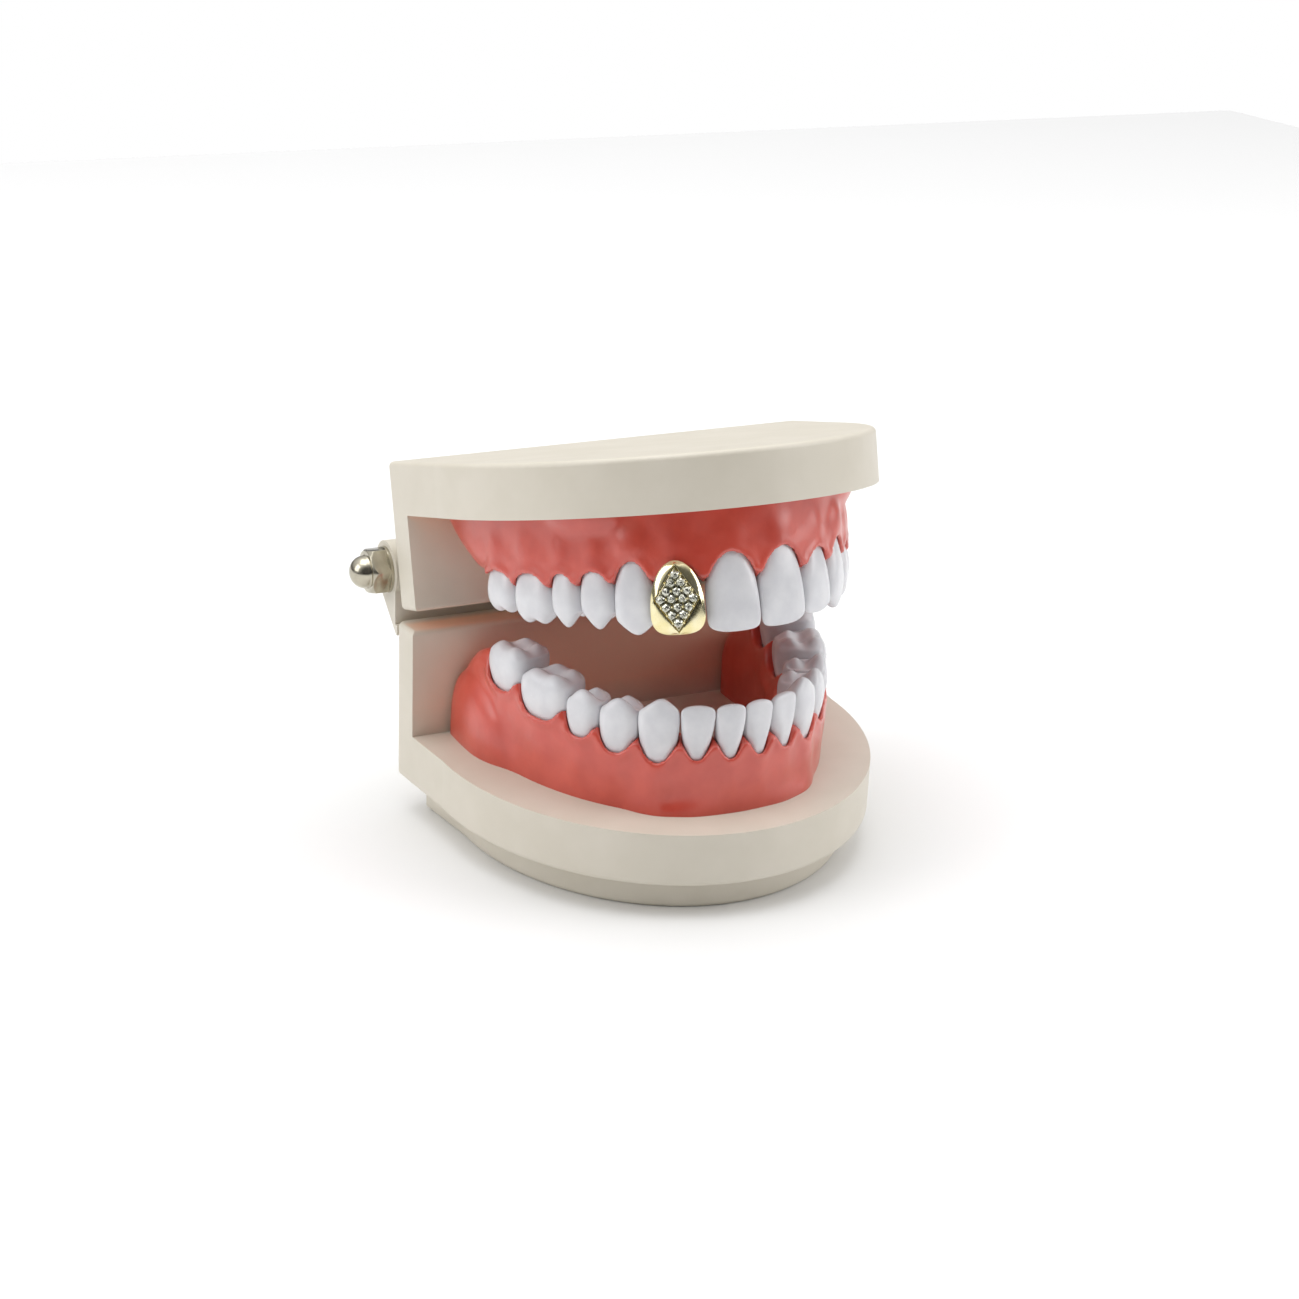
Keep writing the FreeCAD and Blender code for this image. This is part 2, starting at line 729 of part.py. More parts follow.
for x0 in (-half_width_rear - cut_margin, barrel_half):
    cuts.append(Part.makeCylinder(relief_radius, relief_length, Vector(x0, hinge_y, hinge_z), along_x))
core_bottom = upper_plate_bottom - cut_margin
core_top = upper_plate_bottom + core_depth
core = box(-core_half_width, core_half_width, core_front_y, core_rear_y, core_bottom, core_top)
for x, y in palate_screw_spots:
    core = core.cut(Part.makeCylinder(boss_radius, core_top - core_bottom, Vector(x, y, core_bottom)))
cuts.append(core)
palate_face_z = upper_plate_bottom - palate_thickness
palate_screws = []
for x, y in palate_screw_spots:
    seat_z = palate_face_z + screw_head_height + screw_head_recess
    length = upper_plate_bottom + palate_screw_bite - seat_z
    palate_screws.append(placed(slotted_screw(length), x, y, seat_z))
upper_frame = upper_half.cut(cuts + palate_screws)

# ---- upper gum: ridge with a closed palate ----
low = upper_plate_bottom - max(drop for ahead, drop in upper_crest) - cut_margin
upper_gum = arch_fill(overjet, upper_gum_outer, low, upper_plate_bottom)
vault_bottom = low - cut_margin
vault = arch_fill(overjet, -gum_inner, vault_bottom, palate_face_z)
mouth_front_y = gum_rear_y - vault_rear_depth
mouth_rear_y = gum_rear_y + palate_round + cut_margin
mouth = box(-vault_half_width, vault_half_width, mouth_front_y, mouth_rear_y, vault_bottom, palate_face_z)
vault = vault.fuse(mouth).removeSplitter()
vault_top = level_edges(vault, palate_face_z, lambda p: p.y < gum_rear_y - cut_margin)
vault = vault.makeFillet(palate_round, vault_top)
upper_gum = upper_gum.cut(vault)
upper_gum = upper_gum.common(crest_prism(upper_crest, upper_plate_bottom, -1))
upper_gum = upper_gum.cut(upper_windows)

# ---- clip-on cap ----
lateral_width, lateral_neck, lateral_tip = upper_teeth[1][2:5]
cap_run = upper_teeth[0][2] + lateral_width / 2 + cap_shift
cap_tip = lateral_tip - lateral_neck


def shield_outline(width, height, y):
    """Round-topped outline standing on its biting edge, gum end toward -Z."""
    half = width / 2
    bottom = cap_tip + cap_lip_thickness + cap_seat_gap + (height - cap_height) / 2
    top = bottom - height
    right_side = [(1.0, 0.93), (0.75, 1.0), (0.48, 0.97), (0.24, 0.82), (0.09, 0.55)]
    across = [(-wide, down) for down, wide in right_side] + [(0.0, 0.0)]
    across += [(wide, down) for down, wide in reversed(right_side)]
    points = [Vector(half * wide, y, top + height * down) for wide, down in across]
    curve = Part.BSplineCurve()
    curve.interpolate(points)
    return Part.Wire([curve.toShape(), Part.makeLine(points[-1], points[0])])


def shield(width, height, y0, y1):
    return Part.Face(shield_outline(width, height, y0)).extrude(Vector(0, y1 - y0, 0))


cap_front = cap_back + cap_body
cap_middle_z = cap_tip + cap_lip_thickness + cap_seat_gap - cap_height / 2
cap_edge = cap_front - cap_bevel_depth
cap_rim = shield(cap_width, cap_height, cap_back, cap_edge)
cap_face = Part.makeLoft(
    [
        shield_outline(cap_width, cap_height, cap_edge),
        shield_outline(cap_width - 2 * cap_bevel, cap_height - 2 * cap_bevel, cap_front),
    ],
    True,
    True,
)
cap_shell = cap_rim.fuse(cap_face)
diamond_points = [
    Vector(-diamond_width / 2, cap_edge, cap_middle_z),
    Vector(0, cap_edge, cap_middle_z - diamond_height / 2),
    Vector(diamond_width / 2, cap_edge, cap_middle_z),
    Vector(0, cap_edge, cap_middle_z + diamond_height / 2),
]
diamond_top = cap_front + diamond_raise
diamond = Part.Face(Part.makePolygon(diamond_points + [diamond_points[0]]))
diamond = diamond.extrude(Vector(0, diamond_raise + cap_bevel_depth, 0))
cap = cap_shell.fuse(diamond).removeSplitter()
hollow_end = cap_front - cap_front_skin
hollow = shield(cap_width - 2 * cap_wall, cap_height - 2 * cap_wall, cap_back - cut_margin, hollow_end)
cap = cap.cut(hollow)
tooth_face_y = crown_levels["incisor"][1][2]
land_half = cap_land_width / 2
land_start = tooth_face_y + cap_seat_gap
land_z0 = cap_middle_z - cap_land_height / 2
land_z1 = cap_middle_z + cap_land_height / 2
land = box(-land_half, land_half, land_start, hollow_end + cap_land_root, land_z0, land_z1)
lip_z = cap_tip + cap_seat_gap
lip_end = cap_back + cap_lip_root
lip = box(-cap_land_width, cap_land_width, lip_end - cap_lip_reach, lip_end, lip_z, lip_z + cap_lip_thickness)
cap = cap.fuse([land, lip]).removeSplitter()


def set_stone():
    """Brilliant with its point at -Y, widest on y = 0, flat table in front."""
    radius = stone_diameter / 2
    tip_radius = radius * stone_point_share
    point = Part.makeCone(tip_radius, radius, stone_depth, Vector(0, -stone_depth, 0), Vector(0, 1, 0))
    table_radius = radius * stone_table_share
    table = Part.makeCone(radius, table_radius, stone_crown, Vector(0, 0, 0), Vector(0, 1, 0))
    return point.fuse(table)


stone = set_stone()
slant = math.hypot(diamond_width, diamond_height)
step_x = stone_pitch * diamond_width / slant
step_z = stone_pitch * diamond_height / slant
stones = []
for row in range(stone_rows):
    for column in range(stone_rows):
        x = (column - row) * step_x
        z = cap_middle_z + (row + column - (stone_rows - 1)) * step_z
        stones.append(placed(stone, x, diamond_top, z))
cap = cap.cut(stones)
clear_width = cap_width + 2 * cap_clearance
clear_height = cap_height + 2 * cap_clearance
clear_shield = shield(clear_width, clear_height, cap_back - cap_clearance, cap_back + cap_slide_way)


def at_cap(shape):
    return into_arch(shape, cap_run, -1, overjet, upper_plate_bottom - lateral_neck, False)


upper_gum = upper_gum.cut(at_cap(clear_shield))
upper_gum = upper_gum.cut(list(upper_crowns.values()) + palate_screws)

# ---- write every piece ----
save("lower_frame", lower_frame)
save("lower_gum", lower_gum)
save("lower_gum_screws", Part.makeCompound(lower_gum_screws))
save("upper_frame", opened(upper_frame))
save("upper_gum", opened(upper_gum))
save("upper_gum_screws", opened(Part.makeCompound(palate_screws)))
for name, solid in lower_crowns.items():
    save("lower_" + name, solid)
for name, solid in upper_crowns.items():
    save("upper_" + name, opened(solid))
save("gold_tooth_cap", opened(at_cap(cap)))
save("cap_stones", opened(Part.makeCompound([at_cap(s) for s in stones])))
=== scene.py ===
import bpy
import bisect
import bmesh
import json
import math
from mathutils import Matrix, Vector

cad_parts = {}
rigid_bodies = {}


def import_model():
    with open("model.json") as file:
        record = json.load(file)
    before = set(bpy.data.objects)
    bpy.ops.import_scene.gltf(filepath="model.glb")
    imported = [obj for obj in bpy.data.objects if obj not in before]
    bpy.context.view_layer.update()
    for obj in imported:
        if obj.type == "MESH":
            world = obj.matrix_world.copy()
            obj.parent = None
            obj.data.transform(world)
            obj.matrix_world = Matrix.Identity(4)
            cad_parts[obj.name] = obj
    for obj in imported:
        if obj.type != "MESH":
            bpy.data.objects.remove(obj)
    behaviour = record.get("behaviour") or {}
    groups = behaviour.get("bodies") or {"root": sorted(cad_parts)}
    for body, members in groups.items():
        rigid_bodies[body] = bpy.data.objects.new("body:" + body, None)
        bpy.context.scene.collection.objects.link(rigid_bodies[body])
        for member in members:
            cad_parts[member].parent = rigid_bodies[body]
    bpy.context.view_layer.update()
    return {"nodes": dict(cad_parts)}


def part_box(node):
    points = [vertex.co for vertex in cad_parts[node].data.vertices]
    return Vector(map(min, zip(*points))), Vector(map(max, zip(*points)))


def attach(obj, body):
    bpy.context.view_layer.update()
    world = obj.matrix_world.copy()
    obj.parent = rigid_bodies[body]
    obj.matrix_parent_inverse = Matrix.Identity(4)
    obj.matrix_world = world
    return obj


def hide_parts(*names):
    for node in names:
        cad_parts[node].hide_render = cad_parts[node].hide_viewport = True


# Pieces are drawn in millimetres and scaled to metres once, when they are fitted.
MM = 0.001
# Vertices nearer than DOUBLES are merged, and places nearer than SAME_PLACE count as one.
DOUBLES = 0.0005
SAME_PLACE = 0.01

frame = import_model()


# -------------------- hand tools
def linear(hex_colour):
    """sRGB hex to the linear RGBA the shaders take."""
    values = [int(hex_colour[i:i + 2], 16) / 255 for i in (1, 3, 5)]
    curve = [v / 12.92 if v <= 0.04045 else ((v + 0.055) / 1.055) ** 2.4 for v in values]
    return (*curve, 1.0)


def deselect():
    for obj in bpy.context.scene.objects:
        obj.select_set(False)


def take(obj):
    """Make one object the selected and active one."""
    deselect()
    obj.select_set(True)
    bpy.context.view_layer.objects.active = obj
    return obj


def edit(obj):
    take(obj)
    bpy.ops.object.mode_set(mode="EDIT")
    bpy.ops.mesh.select_mode(type="VERT")


def leave():
    bpy.ops.object.mode_set(mode="OBJECT")


def pick(test):
    """In edit mode, select the vertices whose place passes the test."""
    mesh = bmesh.from_edit_mesh(bpy.context.object.data)
    for vertex in mesh.verts:
        vertex.select = bool(test(vertex.co))
    mesh.select_flush_mode()
    bmesh.update_edit_mesh(bpy.context.object.data)


def pick_faces(test):
    """In edit mode, select the faces whose middle and normal pass the test."""
    bpy.ops.mesh.select_mode(type="FACE")
    mesh = bmesh.from_edit_mesh(bpy.context.object.data)
    for face in mesh.faces:
        face.select = bool(test(face.calc_center_median(), face.normal))
    mesh.select_flush_mode()
    bmesh.update_edit_mesh(bpy.context.object.data)


def slide(x, y, z):
    bpy.ops.transform.translate(value=(x, y, z))


def stretch(x, y, z, centre=(0, 0, 0)):
    bpy.ops.transform.resize(value=(x, y, z), center_override=centre)


def extrude(x, y, z):
    bpy.ops.mesh.extrude_region_move(TRANSFORM_OT_translate={"value": (x, y, z)})


def all_vertices():
    bpy.ops.mesh.select_all(action="SELECT")


def flat_face(points, name, fill="NGON"):
    """One face through the points in order, or with no fill a loop of edges."""
    bpy.ops.mesh.primitive_circle_add(vertices=len(points), radius=1.0, fill_type=fill)
    face = bpy.context.object
    face.name = name
    for vertex, point in zip(face.data.vertices, points):
        vertex.co = point
    return face


def apply_modifier(obj, kind, **settings):
    take(obj)
    modifier = obj.modifiers.new(kind.lower(), kind)
    for key, value in settings.items():
        setattr(modifier, key, value)
    bpy.ops.object.modifier_apply(modifier=modifier.name)


def twin(obj, name):
    copy = bpy.data.objects.new(name, obj.data.copy())
    bpy.context.scene.collection.objects.link(copy)
    return copy


def join(pieces, name):
    deselect()
    for piece in pieces:
        piece.select_set(True)
    bpy.context.view_layer.objects.active = pieces[0]
    bpy.ops.object.join()
    pieces[0].name = name
    return pieces[0]


def discard(obj):
    mesh = obj.data
    bpy.data.objects.remove(obj)
    bpy.data.meshes.remove(mesh)


def combine(obj, cutter, operation):
    """Boolean of two closed shapes; the second one is used up."""
    apply_modifier(obj, "BOOLEAN", operation=operation, solver="MANIFOLD", object=cutter)
    discard(cutter)


def outward(obj):
    """Merge doubles and turn every face outwards."""
    edit(obj)
    all_vertices()
    bpy.ops.mesh.remove_doubles(threshold=DOUBLES)
    bpy.ops.mesh.normals_make_consistent(inside=False)
    leave()
    return obj


def smooth_shaded(obj, angle=180):
    """Smooth shading, creased where faces meet more sharply than the angle."""
    take(obj)
    if angle >= 180:
        bpy.ops.object.shade_smooth()
    else:
        bpy.ops.object.shade_smooth_by_angle(angle=math.radians(angle))
    return obj


# -------------------- places
# The rest pose is open by this much. Both jaws are drawn shut, then the upper one is turned.
REST_OPENING = math.radians(15.0)
# Clear height between the two plates, jaws shut.
PLATE_GAP = 35.1
# Half ellipse of the lower arch; past its widest point straight runs carry it to the rear.
ARCH_HALF_WIDTH = 27.9
ARCH_LENGTH = 38.8
ARCH_CENTRE_Y = 17.8
# How far the upper arch stands outside the lower one.
OVERJET = 2.5
ARCH_STEPS = 900
ARCH_STEP = math.pi / 2 / ARCH_STEPS

hinge_low, hinge_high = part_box("hinge_rod")
hinge_y = (hinge_low.y + hinge_high.y) / 2 / MM
hinge_z = (hinge_low.z + hinge_high.z) / 2 / MM
plate_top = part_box("lower_gum")[0].z / MM
gum_rear_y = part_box("lower_gum")[1].y / MM
upper_plate_bottom = plate_top + PLATE_GAP

opened = (
    Matrix.Translation((0, hinge_y, hinge_z))
    @ Matrix.Rotation(REST_OPENING, 4, (-1, 0, 0))
    @ Matrix.Translation((0, -hinge_y, -hinge_z))
)


def arch_table(widen):
    """Runs travelled at even turns along the elliptic front of the arch."""
    half_width = ARCH_HALF_WIDTH + widen
    length = ARCH_LENGTH + widen
    runs = [0.0]
    for k in range(ARCH_STEPS):
        angle = (k + 0.5) * ARCH_STEP
        runs.append(runs[-1] + math.hypot(half_width * math.cos(angle), length * math.sin(angle)) * ARCH_STEP)
    return runs


ARCH_RUNS = {widen: arch_table(widen) for widen in (0.0, OVERJET)}


def arch_frame(run, side, widen):
    """Point and outward direction of the dental arch at a run from the midline."""
    half_width = ARCH_HALF_WIDTH + widen
    length = ARCH_LENGTH + widen
    runs = ARCH_RUNS[widen]
    k = min(bisect.bisect_right(runs, run) - 1, ARCH_STEPS - 1)
    angle = min(k + (run - runs[k]) / (runs[k + 1] - runs[k]), ARCH_STEPS) * ARCH_STEP
    beyond = max(0.0, run - runs[-1])
    point = Vector((half_width * math.sin(angle), ARCH_CENTRE_Y - length * math.cos(angle) + beyond, 0))
    normal = Vector((length * math.sin(angle), -half_width * math.cos(angle), 0)).normalized()
    point.x *= side
    normal.x *= side
    return point, normal


def arch_matrix(run, side, widen, height, pointing_up):
    """Carries a piece drawn on the arch line (x along it, y outward) to its place, jaws shut."""
    point, normal = arch_frame(run, side, widen)
    turn = math.atan2(normal.y, normal.x) - math.pi / 2
    flip = Matrix.Diagonal((1, 1, 1 if pointing_up else -1, 1))
    return Matrix.Translation((point.x, point.y, height)) @ Matrix.Rotation(turn, 4, "Z") @ flip


def move_mesh(obj, matrix):
    """Move the mesh itself, so that the object stays at the origin."""
    obj.data.transform(matrix)
    if matrix.determinant() < 0:
        obj.data.flip_normals()
    obj.data.update()


def fit(obj, body, material, nodes):
    """Scale a finished piece to metres, dress it and let it ride its body."""
    move_mesh(obj, Matrix.Scale(MM, 4))
    obj.data.materials.clear()
    obj.data.materials.append(material)
    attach(obj, body)
    if nodes:
        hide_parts(*nodes)


# -------------------- teeth
# From the midline back: width, neck and tip height above the lower plate.
LOWER_TEETH = [
    ("central_incisor", "lower_incisor", 4.9, 9.3, 17.9),
    ("lateral_incisor", "lower_incisor", 5.4, 9.3, 17.9),
    ("canine", "lower_canine", 6.5, 8.8, 18.7),
    ("first_premolar", "lower_premolar", 6.5, 9.4, 17.8),
    ("second_premolar", "lower_premolar", 6.0, 10.5, 17.9),
    ("first_molar", "lower_molar", 9.8, 11.3, 18.6),
    ("second_molar", "lower_molar", 8.9, 13.1, 20.3),
]
UPPER_TEETH = [
    ("central_incisor", "upper_incisor", 8.4, 28.1, 16.1),
    ("lateral_incisor", "upper_incisor", 7.3, 26.8, 16.9),
    ("canine", "upper_canine", 6.4, 27.6, 16.6),
    ("first_premolar", "upper_premolar", 5.9, 26.4, 17.6),
    ("second_premolar", "upper_premolar", 5.3, 26.1, 17.9),
    ("first_molar", "upper_molar", 7.8, 26.1, 18.3),
    ("second_molar", "upper_molar", 7.0, 26.4, 19.8),
]
ROOT_DEPTH = 3.2
INWARD_TAPER = 0.048

# Rings of a crown from the root end up: height share (None is the root's end,
# below the neck), width share, outer and inner face from the arch line in mm,
# and how square the ring's corners are.
CROWN_RINGS = {
    "lower_incisor": [
        (None, 0.44, 0.2, -3.4, 0.72),
        (0.02, 0.60, 1.05, -3.7, 0.74),
        (0.45, 0.96, 1.45, -2.9, 0.80),
        (0.84, 1.06, 1.05, -1.1, 0.86),
        (1.00, 1.00, 0.62, -0.45, 0.90),
    ],
    "upper_incisor": [
        (None, 0.62, 0.2, -3.6, 0.74),
        (0.02, 0.76, 1.10, -3.8, 0.76),
        (0.40, 1.01, 1.60, -3.2, 0.82),
        (0.84, 1.05, 1.15, -1.2, 0.88),
        (1.00, 0.98, 0.70, -0.5, 0.90),
    ],
    "lower_canine": [
        (None, 0.55, 0.2, -3.8, 0.72),
        (0.02, 0.80, 1.1, -4.2, 0.76),
        (0.42, 1.02, 1.8, -3.8, 0.80),
        (0.76, 1.06, 1.3, -2.3, 0.82),
        (0.92, 0.90, 0.70, -0.8, 0.84),
    ],
    "upper_canine": [
        (None, 0.55, 0.2, -3.8, 0.72),
        (0.02, 0.80, 1.1, -4.2, 0.76),
        (0.42, 1.04, 1.85, -3.8, 0.80),
        (0.74, 1.05, 1.4, -2.4, 0.82),
        (0.92, 0.88, 0.75, -0.8, 0.84),
    ],
    "lower_premolar": [
        (None, 0.62, 0.1, -4.6, 0.76),
        (0.02, 0.86, 1.0, -5.2, 0.80),
        (0.45, 1.05, 1.65, -6.1, 0.82),
        (0.78, 1.03, 1.25, -5.9, 0.84),
        (0.95, 0.88, 0.55, -5.1, 0.86),
    ],
    "upper_premolar": [
        (None, 0.62, 0.1, -4.6, 0.76),
        (0.02, 0.86, 1.0, -5.4, 0.80),
        (0.45, 1.05, 1.6, -6.3, 0.82),
        (0.76, 1.02, 1.2, -6.0, 0.84),
        (0.93, 0.86, 0.55, -5.2, 0.86),
    ],
    "lower_molar": [
        (None, 0.74, -0.1, -5.8, 0.82),
        (0.02, 0.91, 0.95, -6.6, 0.85),
        (0.45, 1.03, 1.75, -7.3, 0.86),
        (0.78, 1.02, 1.3, -7.1, 0.86),
        (0.95, 0.92, 0.6, -6.2, 0.88),
    ],
    "upper_molar": [
        (None, 0.74, -0.1, -5.8, 0.82),
        (0.02, 0.91, 0.95, -6.6, 0.85),
        (0.45, 1.04, 1.7, -7.3, 0.86),
        (0.78, 1.02, 1.25, -7.1, 0.86),
        (0.95, 0.90, 0.6, -6.2, 0.88),
    ],
}


def there_and_back(*rows):
    """Rows up to the middle one, then the same rows back."""
    return [*rows, *rows[-2::-1]]


# Biting surface: rises and falls (mm) of the top grid, one row per line from
# the tongue side out, each row from the midline side to the rear.
TOP_RELIEF = {
    "lower_incisor": there_and_back(
        (-0.45, -0.05, 0.0, -0.05, -0.55),
        (-0.35, 0.0, 0.05, 0.0, -0.45),
        (-0.3, 0.05, 0.1, 0.05, -0.4),
    ),
    "upper_incisor": there_and_back(
        (-0.3, -0.05, 0.0, -0.1, -0.9),
        (-0.2, 0.0, 0.05, -0.05, -0.8),
        (-0.15, 0.05, 0.1, 0.0, -0.75),
    ),
    "lower_canine": there_and_back(
        (-0.9, 0.1, 0.5, -0.4, -1.5),
        (-0.8, 0.3, 0.7, -0.3, -1.4),
        (-0.7, 0.35, 0.8, -0.2, -1.3),
    ),
    "upper_canine": there_and_back(
        (-1.2, -0.2, 0.5, -0.3, -1.5),
        (-1.1, 0.0, 0.7, -0.2, -1.4),
        (-1.0, 0.1, 0.8, -0.1, -1.3),
    ),
    "lower_premolar": [
        (-2.2, -1.3, -0.9, -1.3, -2.2),
        (-1.6, -0.4, 0.6, -0.4, -1.6),
        (-1.5, -2.0, -2.2, -2.0, -1.5),
        (-1.1, 0.3, 1.1, 0.3, -1.2),
        (-1.5, 0.2, 1.1, 0.2, -1.6),
    ],
    "upper_premolar": [
        (-2.2, -1.3, -0.9, -1.3, -2.2),
        (-1.6, -0.4, 0.8, -0.4, -1.6),
        (-1.5, -2.1, -2.3, -2.1, -1.5),
        (-1.4, 0.1, 1.5, 0.1, -1.5),
        (-1.9, -0.1, 1.5, -0.1, -2.0),
    ],
    "lower_molar": [
        (-1.8, -0.6, -1.4, -0.6, -1.8),
        (-1.0, 1.1, -0.8, 1.1, -1.1),
        (-1.2, -1.4, -2.2, -1.4, -1.2),
        (-0.8, 1.0, -0.4, 0.9, -1.0),
        (-1.3, 0.5, -0.7, 0.4, -1.5),
    ],
    "upper_molar": [
        (-1.8, -0.6, -1.4, -0.6, -1.8),
        (-1.0, 1.3, -1.0, 1.0, -1.1),
        (-1.2, -1.4, -2.4, -1.4, -1.2),
        (-0.9, 1.3, -0.7, 1.2, -1.1),
        (-1.5, 0.9, -1.0, 0.7, -1.7),
    ],
}
# The block of a crown: its grid across and along, and where it waits, far below
# the neck, so that rings already placed aren't picked again.
GRID = (-0.5, -0.25, 0.0, 0.25, 0.5)
BLOCK_HEIGHT = 40.0
BLOCK_PLACE = -100.0
LEVEL_REACH = 4.0
# A ring's corners lie beyond these shares of the block, once it is tapered.
CORNER_X = 0.29
CORNER_Y = 0.49
# Slack left in a crown's width beside its neighbours.
TOOTH_GAP = 0.03
# The tooth under the clip-on cap is slimmer, so that the cap covers it.
CAPPED_TOOTH = "upper_right_lateral_incisor"
CAPPED_SLIMMER = 0.93
MIRROR_X = Matrix.Diagonal((-1, 1, 1, 1))


def on_line(place, line):
    """Whether a place lies on a line of the grid."""
    return abs(place - line) < 2 * SAME_PLACE


def crown(name, kind, width, height):
    """Model one crown: a gridded block, its cusps raised and its rings drawn in, then rounded.

    It stands on z = 0 at its neck with x running to the rear and y outward.
    """
    bpy.ops.mesh.primitive_cube_add(size=1.0)
    tooth = bpy.context.object
    tooth.name = name
    edit(tooth)
    all_vertices()
    bpy.ops.mesh.subdivide(number_cuts=len(GRID) - 2)
    stretch(1, 1, BLOCK_HEIGHT)
    slide(0, 0, BLOCK_PLACE)
    top = BLOCK_PLACE + BLOCK_HEIGHT / 2
    for row, y in enumerate(GRID):
        for column, x in enumerate(GRID):
            pick(lambda co: on_line(co.z, top) and on_line(co.x, x) and on_line(co.y, y))
            slide(0, 0, TOP_RELIEF[kind][row][column])
    belly_outer, belly_inner = CROWN_RINGS[kind][2][2:4]
    for y in GRID:
        place = (belly_outer + belly_inner) / 2 + y * (belly_outer - belly_inner)
        pick(lambda co: on_line(co.y, y))
        stretch(1 + INWARD_TAPER * min(place, 0.0), 1, 1)
    for level, (share, wide, outer_y, inner_y, corner) in zip(GRID, CROWN_RINGS[kind]):
        block_z = BLOCK_PLACE + level * BLOCK_HEIGHT
        ring_z = -ROOT_DEPTH if share is None else share * height
        pick(lambda co: abs(co.z - block_z) < LEVEL_REACH and abs(co.y) > CORNER_Y and abs(co.x) > CORNER_X)
        stretch(corner, corner, 1)
        pick(lambda co: abs(co.z - block_z) < LEVEL_REACH)
        stretch(width * wide, outer_y - inner_y, 1)
        slide(0, (outer_y + inner_y) / 2, ring_z - block_z)
    leave()
    # Cusps need a finer skin than a cutting edge.
    levels = 3 if "molar" in kind else 2
    apply_modifier(tooth, "SUBSURF", levels=levels, render_levels=levels)
    tall = max(v.co.z for v in tooth.data.vertices)
    broad = max(v.co.x for v in tooth.data.vertices) - min(v.co.x for v in tooth.data.vertices)
    edit(tooth)
    all_vertices()
    stretch((width - TOOTH_GAP) / broad, 1, 1)
    pick(lambda co: co.z > 0)
    stretch(1, 1, height / tall)
    leave()
    return smooth_shaded(tooth)


def tooth_row(teeth, widen, pointing_up, jaw):
    """All crowns of one jaw, jaws shut: modelled once for the right and mirrored to the left."""
    row = {}
    run = 0.0
    for place, kind, width, neck, tip in teeth:
        run += width / 2
        model = crown(place + "_model", kind, width, abs(tip - neck))
        for word, side in (("right", -1), ("left", 1)):
            name = jaw + "_" + word + "_" + place
            copy = twin(model, name + "_crown")
            if name == CAPPED_TOOTH:
                move_mesh(copy, Matrix.Diagonal((CAPPED_SLIMMER, 1, 1, 1)))
            if side > 0:
                move_mesh(copy, MIRROR_X)
            move_mesh(copy, arch_matrix(run, side, widen, plate_top + neck, pointing_up))
            row[name] = copy
        discard(model)
        run += width / 2
    return row


# -------------------- gums
# Height of the gum point in front of each tooth, above the jaw's own plate,
# and last the height where the last tooth ends.
LOWER_PAPILLAE = (12.7, 12.6, 12.4, 12.2, 12.8, 13.9, 15.6, 17.2)
UPPER_PAPILLAE = (11.5, 11.4, 11.3, 11.2, 11.5, 11.8, 11.6, 9.2)
# Behind the last tooth: y of a station and the ridge height there.
LOWER_REAR = ((15.6, 17.3), (18.2, 16.0), (20.4, 14.0), (22.4, 11.4), (24.0, 8.4))
UPPER_REAR = ((12.2, 8.4), (14.6, 6.8), (17.2, 5.2), (19.6, 3.4), (21.6, 1.5), (23.0, 0.3))
# From the arch line: the ridge's outer wall, its inner wall, and the crest on the tongue side.
WALL_OUTER = 1.45
BLANK_INNER = 8.4
CREST = {"incisor": 5.0, "canine": 5.0, "premolar": 6.3, "molar": 7.7}
MIDLINE_CREST = 4.7
SHOULDER = 1.7
LOWER_SKIRT = 1.2
UPPER_SKIRT = 1.3
VOXEL = 0.4
SUNK = 3.0
RUN_STEP = 0.1
# How square the gum edge arches over a tooth: a pointed V at the lower front, a broad U behind.
ARCHING = {"incisor": 1.7, "canine": 2.1, "premolar": 2.4, "molar": 3.0}
UPPER_INCISOR_ARCHING = 2.2
EDGE_STEPS = 8
EDGE_CROWDING = 1.2
# Root swellings: share of the tooth's width, depth, and how far inside the wall they sit.
ROOT_SWELL = (0.34, 0.75, 0.55)
CANINE_SWELL = (0.40, 1.0, 0.35)
SWELL_MIDDLE = 0.62
SWELL_HEIGHT = 0.42
# Collar of skin round a neck, and the window cut above its margin.
COLLAR_DROP = 0.9
COLLAR_PROUD = 0.3
WINDOW_SHARE = 0.478
WINDOW_INNER, WINDOW_OUTER, WINDOW_TALL = -12, 8, 9
POCKET_CLEARANCE = 0.13
SKIN_CREASE = 50


def tooth_type(kind):
    return kind.split("_")[1]


def rear_run(widen, y):
    """Run at which the arch line passes a given y."""
    run = 0.0
    while arch_frame(run, 1, widen)[0].y < y:
        run += RUN_STEP
    return run


def onto_arch(obj, widen, plate_z, up):
    """Bend a straight ridge (x = run, y = outward, z = height) round the arch."""
    for vertex in obj.data.vertices:
        side = 1 if vertex.co.x >= 0 else -1
        point, normal = arch_frame(abs(vertex.co.x), side, widen)
        place = point + normal * vertex.co.y
        vertex.co = (place.x, place.y, plate_z + up * vertex.co.z)
    if up > 0:
        obj.data.flip_normals()
    obj.data.update()


def oval(place, radii, segments=20, turn=0.0):
    """A smooth egg shape used to swell or fold the gum."""
    bpy.ops.mesh.primitive_uv_sphere_add(segments=segments, ring_count=segments // 2, radius=1.0)
    egg = bpy.context.object
    move_mesh(egg, Matrix.Translation(place) @ Matrix.Rotation(turn, 4, "Z") @ Matrix.Diagonal((*radii, 1)))
    return egg


